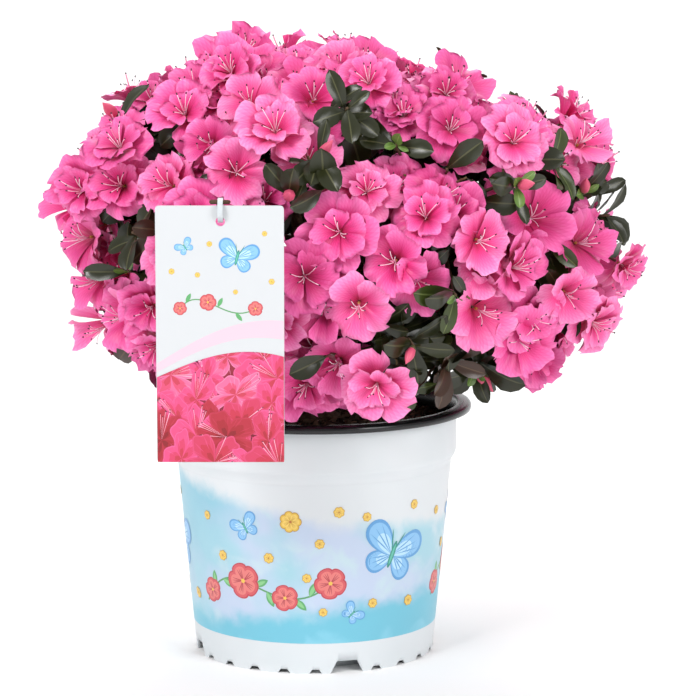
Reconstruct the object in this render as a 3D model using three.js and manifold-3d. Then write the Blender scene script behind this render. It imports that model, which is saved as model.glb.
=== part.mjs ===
// Azalea shrub in full blossom, standing in its round pot, with a picture tag tied to a twig.
// Millimetres, +Z up, ground at z = 0, the pot's axis on x = y = 0, the front of the plant towards -Y.
import * as THREE from "three";
import { mergeVertices } from "three/addons/utils/BufferGeometryUtils.js";
import Module from "manifold-3d";

const wasm = await Module();
wasm.setup();

// Clearance left between pieces that touch on the real plant, and the size of a welded corner.
const GAP = 0.3;
const WELD = 1e-3;

// Pot: a tapered white shell with a collar, and a dark lining rolled over it as a lip.
const POT_SIDES = 48;
const FOOT_RADIUS = 75.9;
const WALL_TOP_RADIUS = 87.4;
const WALL_TOP = 124;
const COLLAR_RADIUS = 90.5;
const COLLAR_BOTTOM = 129;
const COLLAR_TOP = 154.7;
const SHELL_THICK = 1.6;
const FLOOR_UNDER = 8.5;
const FLOOR_TOP = 10.5;
const PAD_RADIUS = 58;
const LIP_RADIUS = 100;
const LIP_INNER_RADIUS = 91;
const LIP_UNDER = 155;
const LIP_TOP = 159.8;
const LINING_BOTTOM = 129.5;
const LINING_THICK = 1.3;

// Foot: four wide gaps and rows of small ones cut up into the skirt, and drain holes in the floor.
const WIDE_GAP_WIDTH = 21;
const WIDE_GAP_HEIGHT = 8;
const WIDE_GAP_TURN = 16;
const SMALL_GAP_WIDTH = 8;
const SMALL_GAP_HEIGHT = 2.6;
const SMALL_GAPS_PER_QUARTER = 5;
const GAP_TAPER = 0.55;
const GAP_CUT = 12;
const DRAIN_HOLES = 6;
const DRAIN_RADIUS = 4;
const DRAIN_CIRCLE = 67.5;

// Compost: fills the pot to a little below the lip, slightly domed round the trunk.
const SOIL_EDGE = 146.5;
const SOIL_CROWN = 149;
const SOIL_FLAT_RADIUS = 24;

// Trunk: short, leaning a little to the right, flared at the root and cut flat at the top.
const TRUNK_FOOT = new THREE.Vector3(0, 0, SOIL_CROWN + GAP);
const TRUNK_TOP = new THREE.Vector3(9, -2, 226);
const TRUNK_FOOT_RADIUS = 9;
const TRUNK_TOP_RADIUS = 6;
const ROOT_FLARE = 9;
const ROOT_FLARE_HEIGHT = 12;

// Boughs: one tapering limb for each mass of foliage, ending where it enters the mass.
const BOUGH_ROOT_RADIUS = 3.6;
const BOUGH_TIP_RADIUS = 2.2;
const BOUGH_REACH = 0.4;
const BOUGH_BEND = 17;
const BOUGH_ROOM = 4;

// Crown: a broad rounded head about its centre, with bulges, and lobes and dips round its edge.
const CROWN_CENTRE = new THREE.Vector3(20, 0, 275);
const CROWN_WIDTH = 199;
const CROWN_DEPTH = 162;
const CROWN_RISE = 124;
const CROWN_DROP = 113;
const CROWN_SQUARENESS = 2.5;
const BULGES = [
  { turn: 8, rise: -42, gain: 0.1, spread: 22 },
  { turn: 180, rise: 20, gain: 0.04, spread: 20 },
];
// Lobes and dips of the edge as seen from the front: side is the angle from the right, over the
// top, to the left. They fade out towards the front and the back.
const EDGE_LOBES = [
  { side: 4, gain: -0.11, spread: 11 },
  { side: 20, gain: -0.06, spread: 9 },
  { side: 39, gain: -0.27, spread: 9 },
  { side: 54, gain: -0.08, spread: 9 },
  { side: 73, gain: -0.15, spread: 12 },
  { side: 105, gain: -0.08, spread: 9 },
  { side: 140, gain: -0.12, spread: 8 },
  { side: 163, gain: -0.08, spread: 9 },
  { side: 188, gain: -0.13, spread: 9 },
];
const EDGE_DEPTH = 0.75;

// Masses of foliage: rings of cells that meet at flat bounds, named by where they stand.
const RINGS = [
  {
    name: "skirt",
    rise: -22,
    limb: 186,
    turns: { front: 0, right_front: 60, right_back: 120, back: 180, left_back: 240, left_front: 300 },
  },
  {
    name: "waist",
    rise: 12,
    limb: 202,
    turns: { front_right: 30, right: 90, back_right: 150, back_left: 210, left: 270, front_left: 330 },
  },
  {
    name: "shoulder",
    rise: 46,
    limb: 217,
    turns: { front: 0, right: 72, back_right: 144, back_left: 216, left: 288 },
  },
  { name: "top", rise: 88, limb: 226, turns: { middle: 90 } },
];
const CELL_MARGIN = 0.3;
const CELL_INNER = 0.46;
const STEM_REACH = 0.68;
const TIP_REACH = 1.03;

// Core: the dense inner part of a mass, a lumpy wedge that its twigs and leaves stand out of.
const CORE_INNER = 0.5;
const CORE_OUTER = [0.68, 0.75];
const CORE_SIDES = 8;
const CORE_LOWEST = -36;
const CORE_WIDEST = 36;

// Sprays: blossoms and tufts of leaves spread evenly over the crown, each at the end of a twig.
const SPRAY_COUNT = 196;
const SPRAY_LOWEST = -47;
const DROOP = 0.3;
const SPRAY_REACH = 0.985;
const SPRAY_SINK = 0.04;
const FLOWER_RADIUS = [21, 25];
const FLOWER_THROAT = 0.36;
const FLOWER_DEPTH = 0.62;
const FLOWER_NOTCH = 0.85;
const FLOWER_NOTCH_SINK = 0.05;
const FLOWER_TILT = 0.5;
const FLOWER_SIZES = [1, 0.88, 0.76];
const SETTLE_SHARES = 3;
const SETTLE_MOVES = 8;
const SETTLE_MOVE = 0.06;
const TUFT_LEAVES = 6;
const TUFT_SINK = 15;
const TUFT_STRETCH = 0.3;
const TUFT_SHARE = 0.1;
const TUFT_SPREAD = 10;
const TUFT_PLACES = [
  [65, 17],
  [41, 8],
  [20, 23],
  [-3, 29],
  [-18, 11],
  [-76, 28],
  [-56, -5],
  [20, -18],
  [-6, -23],
  [38, -32],
];
const LEAF_LENGTH = [23, 32];
const LEAF_WIDTH = 0.46;
const LEAF_THICK = 0.045;
const LEAF_WIDEST = 0.58;
const LEAF_SPIRAL = 2.4;
const LEAF_OPEN = [0.5, 1.35];
const LEAF_ROOM = 4.5;
const LEAVES_PER_TWIG = 4;
const TWIG_STRETCH = 0.5;
const TWIG_BEND = 0.45;
const STEM_RADIUS = 2.8;
const BRANCH_RADIUS = 1.5;
const TWIG_RADIUS = 0.8;
const BRANCHES = 3;
const BRANCH_STEP = 0.22;
const BRANCH_SPOTS = [0.3, 0.42, 0.6, 0.72];
const GOLDEN_ANGLE = 137.508;
const RIM_CLEAR = 3;

// Tag: an upright card hung by a flat tie from a spur at the front left of the crown.
const TAG_WIDTH = 74.5;
const TAG_HEIGHT = 150.7;
const TAG_THICK = 0.8;
const TAG_CORNER = 2.5;
const TAG_CENTRE = new THREE.Vector3(-52.9, -165, 226);
const TAG_HOLE = new THREE.Vector3(-52.4, -165, 292.1);
const TAG_HOLE_RADIUS = 2.8;
const TAG_KEEP = 4;
const TIE_WIDTH = 3;
const TIE_THICK = 0.8;
const TIE_CENTRE = new THREE.Vector3(TAG_HOLE.x, TAG_HOLE.y + 3.5, TAG_HOLE.z + 6.2);
const TIE_HALF_DEPTH = 7.5;
const TIE_HALF_HEIGHT = 7;
const TIE_ROOM = 9;
const SPUR_CELL = "waist_front_left";
const SPUR_RADIUS = 1.1;
const SPUR_START = new THREE.Vector3(TAG_HOLE.x - 13, TIE_CENTRE.y + 3, TIE_CENTRE.z + 4.2);
const SPUR_LENGTH = 22;

// Finishes.
const finish = (colour, roughness) =>
  new THREE.MeshStandardMaterial({ color: colour, roughness, metalness: 0 });
const WHITE_PLASTIC = finish("#dfe4e7", 0.4);
const DARK_PLASTIC = finish("#17181a", 0.35);
const COMPOST = finish("#33261d", 0.95);
const BARK = finish("#6b4f3c", 0.85);
const BLOSSOM = finish("#ee5f9d", 0.6);
const TAG_CARD = finish("#f2f4f6", 0.35);
const TIE_PLASTIC = finish("#d5dade", 0.4);

const part = new THREE.Group();
part.name = "azalea_in_pot";

const radians = (degrees) => (degrees * Math.PI) / 180;
const mix = (a, b, t) => a + (b - a) * t;

// A direction from the crown's centre: turn is measured from the front towards the right.
function direction(turn, rise) {
  const level = Math.cos(radians(rise));
  return new THREE.Vector3(
    Math.sin(radians(turn)) * level,
    -Math.cos(radians(turn)) * level,
    Math.sin(radians(rise)),
  );
}

// Repeatable chance: the same seed always gives the same run of numbers from 0 to 1.
function chance(seed) {
  let state = seed;
  const next = () => {
    state = (state * 1664525 + 1013904223) % 4294967296;
    return state / 4294967296;
  };
  for (let skip = 0; skip < 3; skip += 1) next();
  return next;
}

// Solids.
function solidOf(geometry) {
  const bare = geometry.clone();
  bare.deleteAttribute("normal");
  bare.deleteAttribute("uv");
  const joined = mergeVertices(bare, WELD);
  return new wasm.Manifold(
    new wasm.Mesh({
      numProp: 3,
      vertProperties: new Float32Array(joined.attributes.position.array),
      triVerts: new Uint32Array(joined.index.array),
    }),
  );
}

function geometryOf(solid) {
  const mesh = solid.getMesh();
  const geometry = new THREE.BufferGeometry();
  geometry.setAttribute("position", new THREE.BufferAttribute(mesh.vertProperties, 3));
  geometry.setIndex(new THREE.BufferAttribute(mesh.triVerts, 1));
  geometry.computeVertexNormals();
  return geometry;
}

function addPiece(name, geometry, material) {
  const mesh = new THREE.Mesh(geometry, material);
  mesh.name = name;
  part.add(mesh);
}

// Keeps the one main body of a fused solid: loose scraps and sealed hollows are dropped, also
// those that come apart when close corners are welded.
function mainBody(solid) {
  const largest = (bodies) => bodies.reduce((a, b) => (b.volume() > a.volume() ? b : a));
  const welded = solidOf(geometryOf(largest(solid.decompose())));
  return largest(welded.decompose());
}

function turned(points) {
  const profile = points.map(([radius, height]) => new THREE.Vector2(radius, height));
  const geometry = new THREE.LatheGeometry(profile, POT_SIDES);
  geometry.rotateX(Math.PI / 2);
  return geometry;
}

// Pot.
function wallRadius(height) {
  return mix(FOOT_RADIUS, WALL_TOP_RADIUS, height / WALL_TOP);
}

function shellBlank() {
  const inside = (height) => wallRadius(height) - SHELL_THICK;
  return turned([
    [0, 0],
    [PAD_RADIUS, 0],
    [PAD_RADIUS + 3, FLOOR_UNDER],
    [inside(FLOOR_UNDER), FLOOR_UNDER],
    [inside(0), 0],
    [wallRadius(0), 0],
    [wallRadius(WALL_TOP), WALL_TOP],
    [COLLAR_RADIUS - 0.8, COLLAR_BOTTOM - 1.6],
    [COLLAR_RADIUS, COLLAR_BOTTOM],
    [COLLAR_RADIUS, COLLAR_TOP],
    [COLLAR_RADIUS - SHELL_THICK, COLLAR_TOP],
    [COLLAR_RADIUS - SHELL_THICK, COLLAR_BOTTOM],
    [inside(WALL_TOP), WALL_TOP],
    [inside(FLOOR_TOP), FLOOR_TOP],
    [0, FLOOR_TOP],
  ]);
}

// A gap in the foot, cut through the skirt at one turn round the pot.
function footGap(width, height, turn) {
  const half = width / 2;
  const shape = new THREE.Shape();
  shape.moveTo(-half, -1);
  shape.lineTo(half, -1);
  shape.lineTo(half * GAP_TAPER, height);
  shape.lineTo(-half * GAP_TAPER, height);
  const geometry = new THREE.ExtrudeGeometry(shape, { depth: GAP_CUT, bevelEnabled: false });
  geometry.rotateX(Math.PI / 2);
  geometry.translate(0, GAP_CUT / 2 + 2 - FOOT_RADIUS, 0);
  geometry.rotateZ(radians(turn));
  return solidOf(geometry);
}

function drainHole(turn) {
  const geometry = new THREE.CylinderGeometry(DRAIN_RADIUS, DRAIN_RADIUS, 12, 12);
  geometry.rotateX(Math.PI / 2);
  geometry.translate(0, DRAIN_CIRCLE, FLOOR_UNDER + 1);
  geometry.rotateZ(radians(turn));
  return solidOf(geometry);
}

function buildPot() {
  let shell = solidOf(shellBlank());
  for (let quarter = 0; quarter < 4; quarter += 1) {
    const start = WIDE_GAP_TURN + quarter * 90;
    shell = shell.subtract(footGap(WIDE_GAP_WIDTH, WIDE_GAP_HEIGHT, start));
    for (let small = 1; small <= SMALL_GAPS_PER_QUARTER; small += 1) {
      const turn = start + (small * 90) / (SMALL_GAPS_PER_QUARTER + 1);
      shell = shell.subtract(footGap(SMALL_GAP_WIDTH, SMALL_GAP_HEIGHT, turn));
    }
  }
  for (let hole = 0; hole < DRAIN_HOLES; hole += 1) {
    shell = shell.subtract(drainHole((hole * 360) / DRAIN_HOLES));
  }
  addPiece("pot", geometryOf(shell), WHITE_PLASTIC);
}

// The dark lining stands inside the collar and rolls outwards over it as the lip.
function buildRim() {
  const outside = COLLAR_RADIUS - SHELL_THICK - GAP;
  const inside = outside - LINING_THICK;
  const geometry = turned([
    [inside, LINING_BOTTOM],
    [outside, LINING_BOTTOM],
    [outside, LIP_UNDER],
    [LIP_RADIUS - 1.2, LIP_UNDER],
    [LIP_RADIUS, LIP_UNDER + 1.2],
    [LIP_RADIUS, LIP_TOP - 1.6],
    [LIP_RADIUS - 1.8, LIP_TOP],
    [LIP_INNER_RADIUS + 2, LIP_TOP],
    [LIP_INNER_RADIUS, LIP_TOP - 0.6],
    [inside, LIP_UNDER - 1],
    [inside, LINING_BOTTOM],
  ]);
  addPiece("pot_rim", geometryOf(solidOf(geometry)), DARK_PLASTIC);
}

function buildSoil() {
  const clear = SHELL_THICK + GAP;
  const collarInside = COLLAR_RADIUS - SHELL_THICK - GAP - LINING_THICK - GAP;
  const geometry = turned([
    [0, FLOOR_TOP + GAP],
    [wallRadius(FLOOR_TOP) - clear, FLOOR_TOP + GAP],
    [wallRadius(WALL_TOP) - clear, WALL_TOP],
    [collarInside, SOIL_EDGE],
    [SOIL_FLAT_RADIUS, SOIL_CROWN],
    [0, SOIL_CROWN],
  ]);
  addPiece("soil", geometryOf(solidOf(geometry)), COMPOST);
}

// A limb with round rings along a path, closed at both ends; radiusAt gives its radius from 0 to 1.
function limb(path, radiusAt, rings, sides) {
  const positions = [];
  const index = [];
  let across = new THREE.Vector3(0, 0, 1);
  for (let ring = 0; ring <= rings; ring += 1) {
    const t = ring / rings;
    const centre = path.getPoint(t);
    const along = path.getTangent(t);
    if (ring === 0 && Math.abs(along.dot(across)) > 0.9) across.set(1, 0, 0);
    across = across.clone().addScaledVector(along, -across.dot(along)).normalize();
    const other = along.clone().cross(across);
    for (let side = 0; side < sides; side += 1) {
      const turn = (side * 2 * Math.PI) / sides;
      const radius = radiusAt(t);
      const point = centre
        .clone()
        .addScaledVector(across, Math.cos(turn) * radius)
        .addScaledVector(other, Math.sin(turn) * radius);
      positions.push(point.x, point.y, point.z);
    }
  }
  for (let ring = 0; ring < rings; ring += 1) {
    for (let side = 0; side < sides; side += 1) {
      const a = ring * sides + side;
      const b = ring * sides + ((side + 1) % sides);
      index.push(a, b, b + sides, a, b + sides, a + sides);
    }
  }
  const last = rings * sides;
  for (let side = 1; side < sides - 1; side += 1) {
    index.push(0, side + 1, side);
    index.push(last, last + side, last + side + 1);
  }
  const geometry = new THREE.BufferGeometry();
  geometry.setAttribute("position", new THREE.Float32BufferAttribute(positions, 3));
  geometry.setIndex(index);
  return geometry;
}

// Trunk.
const trunkPath = new THREE.QuadraticBezierCurve3(
  TRUNK_FOOT,
  new THREE.Vector3(TRUNK_FOOT.x, TRUNK_FOOT.y, mix(TRUNK_FOOT.z, TRUNK_TOP.z, 0.5)),
  TRUNK_TOP,
);

function trunkRadius(t) {
  const height = t * (TRUNK_TOP.z - TRUNK_FOOT.z);
  const flare = ROOT_FLARE * Math.exp((-2.5 * height) / ROOT_FLARE_HEIGHT);
  return mix(TRUNK_FOOT_RADIUS, TRUNK_TOP_RADIUS, t) + flare;
}

function buildTrunk() {
  addPiece("trunk", limb(trunkPath, trunkRadius, 8, 14), BARK);
}

// Crown.
function reach(heading) {
  const level = Math.hypot(heading.x / CROWN_WIDTH, heading.y / CROWN_DEPTH);
  const upright = Math.abs(heading.z) / (heading.z > 0 ? CROWN_RISE : CROWN_DROP);
  const sum = level ** CROWN_SQUARENESS + upright ** CROWN_SQUARENESS;
  let gain = 1;
  for (const bulge of BULGES) {
    const cosine = Math.min(1, heading.dot(direction(bulge.turn, bulge.rise)));
    const away = Math.acos(cosine) / radians(bulge.spread);
    gain += bulge.gain * Math.exp(-away * away);
  }
  const side = (Math.atan2(heading.z, heading.x) * 180) / Math.PI;
  const fade = Math.exp(-((heading.y / EDGE_DEPTH) ** 2));
  for (const lobe of EDGE_LOBES) {
    const away = (((side - lobe.side + 540) % 360) - 180) / lobe.spread;
    gain += lobe.gain * fade * Math.exp(-away * away);
  }
  return gain / sum ** (1 / CROWN_SQUARENESS);
}

function crownPoint(heading, share) {
  return CROWN_CENTRE.clone().addScaledVector(heading, reach(heading) * share);
}

// The way a blossom faces: square to the rounded head, but not far down on its underside.
function facing(heading) {
  const tall = heading.z > 0 ? heading.z / CROWN_RISE ** 2 : (heading.z * DROOP) / CROWN_DROP ** 2;
  return new THREE.Vector3(
    heading.x / CROWN_WIDTH ** 2,
    heading.y / CROWN_DEPTH ** 2,
    tall,
  ).normalize();
}

const cells = [];
for (const ring of RINGS) {
  for (const [place, turn] of Object.entries(ring.turns)) {
    cells.push({
      name: `${ring.name}_${place}`,
      heading: direction(turn, ring.rise),
      turn,
      limbHeight: ring.limb,
      sprays: [],
    });
  }
}

// A bough leaves the trunk square to it, or from its cut top, and curves up and out to its mass.
function boughPath(cell) {
  const tip = crownPoint(cell.heading, BOUGH_REACH);
  const t = (cell.limbHeight - TRUNK_FOOT.z) / (TRUNK_TOP.z - TRUNK_FOOT.z);
  const fromTop = t >= 1;
  const along = trunkPath.getTangent(Math.min(t, 1));
  const level = direction(cell.turn, 0);
  const outward = fromTop ? along : level.addScaledVector(along, -level.dot(along)).normalize();
  const clear = fromTop ? GAP : trunkRadius(t) + GAP;
  const root = trunkPath.getPoint(Math.min(t, 1)).addScaledVector(outward, clear);
  const bend = root.clone().addScaledVector(outward, BOUGH_BEND);
  const arrive = tip.clone().addScaledVector(cell.heading, -BOUGH_BEND);
  return new THREE.CubicBezierCurve3(root, bend, arrive, tip);
}

const limbSpots = [];
function buildBoughs() {
  for (const cell of cells) {
    cell.bough = boughPath(cell);
    const radiusAt = (t) => mix(BOUGH_ROOT_RADIUS, BOUGH_TIP_RADIUS, t);
    addPiece(`bough_${cell.name}`, limb(cell.bough, radiusAt, 4, 5), BARK);
    for (let spot = 0; spot <= 12; spot += 1) {
      limbSpots.push({ point: cell.bough.getPoint(spot / 12), radius: radiusAt(spot / 12) });
    }
  }
}

// Tells whether a point keeps to a cell's own space, clear of the rim, the tag and other limbs.
function inside(cell, point, share = TIP_REACH) {
  const out = point.clone().sub(CROWN_CENTRE);
  const heading = out.clone().normalize();
  const length = out.length();
  const limit = reach(heading);
  if (length > limit * share || length < limit * CELL_INNER) return false;
  for (const other of cells) {
    if (other === cell) continue;
    const apart = cell.heading.clone().sub(other.heading).normalize();
    if (out.dot(apart) < CELL_MARGIN) return false;
  }
  const fromAxis = Math.hypot(point.x, point.y);
  if (point.z < LIP_TOP + RIM_CLEAR && fromAxis < LIP_RADIUS + RIM_CLEAR) return false;
  for (const spot of limbSpots) {
    if (spot.point.distanceTo(point) < spot.radius + BOUGH_ROOM) return false;
  }
  return !nearTag(point);
}

function nearTag(point) {
  const beside = Math.abs(point.x - TAG_CENTRE.x) < TAG_WIDTH / 2 + TAG_KEEP;
  const level = Math.abs(point.z - TAG_CENTRE.z) < TAG_HEIGHT / 2 + TAG_KEEP;
  const before = point.y < TAG_CENTRE.y + TAG_KEEP;
  return (beside && level && before) || point.distanceTo(TIE_CENTRE) < TIE_ROOM + TAG_KEEP;
}

function allInside(cell, points) {
  return points.every((point) => inside(cell, point));
}

// The frame across a facing direction, turned by an angle.
function frameOf(normal, turn) {
  const side = new THREE.Vector3(0, 0, 1).cross(normal);
  if (side.length() < 0.1) side.set(1, 0, 0);
  side.normalize();
  const up = normal.clone().cross(side);
  const u = side.clone().multiplyScalar(Math.cos(turn)).addScaledVector(up, Math.sin(turn));
  return { u, v: normal.clone().cross(u) };
}

function place(origin, frame, normal, x, y, z) {
  return origin
    .clone()
    .addScaledVector(frame.u, x)
    .addScaledVector(frame.v, y)
    .addScaledVector(normal, z);
}

// A closed body whose edge is a loop of points, with one point before it and one behind.
function lens(loop, front, back) {
  const positions = [...loop, front, back].flatMap((point) => [point.x, point.y, point.z]);
  const index = [];
  const count = loop.length;
  for (let edge = 0; edge < count; edge += 1) {
    const next = (edge + 1) % count;
    index.push(edge, next, count);
    index.push(next, edge, count + 1);
  }
  const geometry = new THREE.BufferGeometry();
  geometry.setAttribute("position", new THREE.Float32BufferAttribute(positions, 3));
  geometry.setIndex(index);
  return { geometry, points: [...loop, front, back] };
}

// A blossom: five petals round a sunken throat, drawn back to a point. Its heart, where its twig
// ends, lies in the thick of one petal.
function flower(centre, normal, radius, turn) {
  const frame = frameOf(normal, turn);
  const loop = [];
  for (let corner = 0; corner < 10; corner += 1) {
    const angle = (corner * Math.PI) / 5;
    const tip = corner % 2 === 0;
    const size = radius * (tip ? 1 : FLOWER_NOTCH);
    const lift = tip ? 0 : -FLOWER_NOTCH_SINK * radius;
    loop.push(place(centre, frame, normal, Math.cos(angle) * size, Math.sin(angle) * size, lift));
  }
  const throat = place(centre, frame, normal, 0, 0, -FLOWER_THROAT * radius);
  const base = place(centre, frame, normal, 0, 0, -FLOWER_DEPTH * radius);
  const heart = loop[0].clone().add(loop[1]).add(throat).add(base).multiplyScalar(0.25);
  return { ...lens(loop, throat, base), heart };
}

// A leaf: widest beyond its middle, from a root sunk in its twig to a short point.
function leaf(root, along, normal, length) {
  const across = along.clone().cross(normal).normalize();
  const face = across.clone().cross(along).normalize();
  const wide = root.clone().addScaledVector(along, length * LEAF_WIDEST);
  const half = (length * LEAF_WIDTH) / 2;
  const thick = length * LEAF_THICK;
  const loop = [
    root.clone(),
    wide.clone().addScaledVector(across, half),
    root.clone().addScaledVector(along, length),
    wide.clone().addScaledVector(across, -half),
  ];
  const front = wide.clone().addScaledVector(face, -thick * 0.2);
  const back = wide.clone().addScaledVector(face, -thick * 1.2);
  return lens(loop, front, back);
}

// A three-sided twig, tapering along its path.
function twig(path, segments, startRadius, endRadius) {
  return limb(path, (t) => mix(startRadius, endRadius, t), segments, 3);
}

// The way a twig grows: off its parent, then round to arrive along its blossom's axis.
function twigPath(from, spray) {
  const bend = spray.end.clone().addScaledVector(spray.normal, -TWIG_BEND * from.distanceTo(spray.end));
  return new THREE.QuadraticBezierCurve3(from, bend, spray.end);
}

// Sprays are dealt out evenly by the golden angle from the lowest rise up to the top.
function dealSprays() {
  const random = chance(11);
  const lowest = Math.sin(radians(SPRAY_LOWEST));
  for (let count = 0; count < SPRAY_COUNT; count += 1) {
    const height = mix(lowest, 1, (count + 0.5) / SPRAY_COUNT);
    const heading = direction((count * GOLDEN_ANGLE) % 360, (Math.asin(height) * 180) / Math.PI);
    const leafy = TUFT_PLACES.some(
      ([turn, rise]) => heading.angleTo(direction(turn, rise)) < radians(TUFT_SPREAD),
    );
    const hidden = heading.y > 0.2 && random() < TUFT_SHARE;
    const nearest = cells.reduce((best, cell) =>
      cell.heading.dot(heading) > best.heading.dot(heading) ? cell : best,
    );
    const share = SPRAY_REACH - (count % 3) * SPRAY_SINK;
    nearest.sprays.push({ heading, share, tuft: leafy || hidden });
  }
  for (const cell of cells) cell.sprays.sort((a, b) => b.share - a.share);
}

// Where a point lies against a blossom: beside it (0), before it (1), behind it (-1) or in it.
function sideOf({ centre, normal, radius }, point) {
  const out = point.clone().sub(centre);
  const height = out.dot(normal);
  const aside = Math.sqrt(Math.max(0, out.lengthSq() - height * height));
  if (aside > radius + 1) return 0;
  const inward = radius - aside;
  if (height > 1 - FLOWER_THROAT * inward) return 1;
  return height < -1 - FLOWER_DEPTH * inward ? -1 : NaN;
}

function cutsInto(points, bloom) {
  const sides = points.map((point) => sideOf(bloom, point));
  return sides.some(Number.isNaN) || (sides.includes(1) && sides.includes(-1));
}

// Moves a blossom inwards and towards the middle of its cell, and then makes it smaller, until
// it keeps to the cell and cuts into no other blossom.
function settleFlower(cell, spray, blooms, random) {
  const size = mix(...FLOWER_RADIUS, random());
  const turn = random() * 2 * Math.PI;
  const tilt = new THREE.Vector3(random() - 0.5, random() - 0.5, random() - 0.5);
  for (const scale of FLOWER_SIZES) {
    const radius = size * scale;
    for (let step = 0; step < SETTLE_SHARES * SETTLE_MOVES; step += 1) {
      const share = spray.share - (step % SETTLE_SHARES) * SPRAY_SINK;
      const move = Math.floor(step / SETTLE_SHARES) * SETTLE_MOVE;
      const heading = spray.heading.clone().lerp(cell.heading, move).normalize();
      const normal = facing(heading).addScaledVector(tilt, FLOWER_TILT).normalize();
      const centre = crownPoint(heading, share);
      const bloom = { ...flower(centre, normal, radius, turn), heading, centre, normal, radius };
      const clear = centre.distanceTo(TIE_CENTRE) > radius + TIE_ROOM;
      const apart = blooms.every(
        (other) => !cutsInto(bloom.points, other) && !cutsInto(other.points, bloom),
      );
      if (clear && apart && allInside(cell, bloom.points)) return bloom;
    }
  }
  return null;
}

// Adds a leaf unless it leaves the cell or would cut into a blossom, a twig or another leaf.
function tryLeaf(cell, grown, root, along, face, length) {
  const shape = leaf(root, along, face, length);
  if (!allInside(cell, shape.points.slice(1))) return;
  const spots = [0.4, 0.6, 0.8, 1].map((t) => root.clone().addScaledVector(along, length * t));
  const sides = [shape.points[1], shape.points[3]];
  const free = grown.flowers.every((bloom) => !cutsInto([root, ...spots, ...sides], bloom));
  const alone = spots.every((spot) => grown.taken.every((other) => other.distanceTo(spot) > LEAF_ROOM));
  if (!free || !alone) return;
  grown.taken.push(...spots);
  grown.pieces.push(shape.geometry);
}

// Leaves stand out in a spiral along the last stretch of a twig, more open the lower they are.
function addLeaves(cell, grown, path, count, stretch, random) {
  for (let number = 0; number < count; number += 1) {
    const t = mix(1, 1 - stretch, (number + 0.5) / count);
    const along = path.getTangent(t);
    const frame = frameOf(along, number * LEAF_SPIRAL + random());
    const open = mix(...LEAF_OPEN, (number + 0.5) / count);
    const way = along.clone().multiplyScalar(Math.cos(open)).addScaledVector(frame.u, Math.sin(open));
    const face = along.clone().multiplyScalar(Math.sin(open)).addScaledVector(frame.u, -Math.cos(open));
    const length = mix(...LEAF_LENGTH, random());
    tryLeaf(cell, grown, path.getPoint(t), way, face, length);
  }
}

function stemPoint(cell, t) {
  const start = cell.bough.getPoint(1).addScaledVector(cell.heading, GAP);
  return start.lerp(crownPoint(cell.heading, STEM_REACH), t);
}

// The nearest point on a branch, from which a twig sets out.
function branchFrom(branches, end) {
  let best = null;
  for (const branch of branches) {
    for (const t of BRANCH_SPOTS) {
      const point = branch.getPoint(t);
      if (!best || point.distanceTo(end) < best.distanceTo(end)) best = point;
    }
  }
  return best;
}

// The direction that leans from a cell's middle by an angle, towards one side of it.
function leaning(cell, turn, angle) {
  const frame = frameOf(cell.heading, turn);
  const heading = cell.heading.clone().multiplyScalar(Math.cos(angle));
  return heading.addScaledVector(frame.u, Math.sin(angle));
}

// How far a core can lean to one side before it leaves its cell.
function widestLean(cell, turn) {
  const step = radians(1.5);
  const lowest = Math.sin(radians(CORE_LOWEST));
  let angle = 0;
  while (angle < radians(CORE_WIDEST)) {
    const heading = leaning(cell, turn, angle + step);
    const fits = inside(cell, crownPoint(heading, CORE_OUTER[1]));
    if (heading.z < lowest || !fits) return angle;
    angle += step;
  }
  return angle;
}

// Rings of the core from its inner face over the lumpy outer face, closed by a point on each.
function core(cell, random) {
  const rings = [[], [], []];
  for (let side = 0; side < CORE_SIDES; side += 1) {
    const turn = (side * 2 * Math.PI) / CORE_SIDES;
    const widest = widestLean(cell, turn);
    rings[0].push(crownPoint(leaning(cell, turn, widest), CORE_INNER));
    rings[1].push(crownPoint(leaning(cell, turn, widest), mix(...CORE_OUTER, random())));
    rings[2].push(crownPoint(leaning(cell, turn, widest * 0.5), mix(...CORE_OUTER, random())));
  }
  const points = rings.flat();
  const inner = points.push(crownPoint(cell.heading, CORE_INNER)) - 1;
  const outer = points.push(crownPoint(cell.heading, CORE_OUTER[1])) - 1;
  const index = [];
  for (let side = 0; side < CORE_SIDES; side += 1) {
    const next = (side + 1) % CORE_SIDES;
    index.push(inner, next, side);
    for (const ring of [0, CORE_SIDES]) {
      index.push(ring + side, ring + next, ring + CORE_SIDES + next);
      index.push(ring + side, ring + CORE_SIDES + next, ring + CORE_SIDES + side);
    }
    index.push(outer, 2 * CORE_SIDES + side, 2 * CORE_SIDES + next);
  }
  const geometry = new THREE.BufferGeometry();
  const positions = points.flatMap((point) => [point.x, point.y, point.z]);
  geometry.setAttribute("position", new THREE.Float32BufferAttribute(positions, 3));
  geometry.setIndex(index);
  return geometry;
}

// The short bare spur that the tag's tie goes round, level from left to right.
function spur(branches) {
  const level = new THREE.Vector3(1, 0, 0);
  const end = SPUR_START.clone().addScaledVector(level, SPUR_LENGTH);
  const along = new THREE.LineCurve3(SPUR_START, end);
  const knee = SPUR_START.clone().addScaledVector(level, SPUR_RADIUS);
  const riser = new THREE.LineCurve3(branchFrom(branches, knee), knee);
  return [limb(along, () => SPUR_RADIUS, 1, 6), twig(riser, 1, BRANCH_RADIUS, TWIG_RADIUS)];
}

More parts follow.
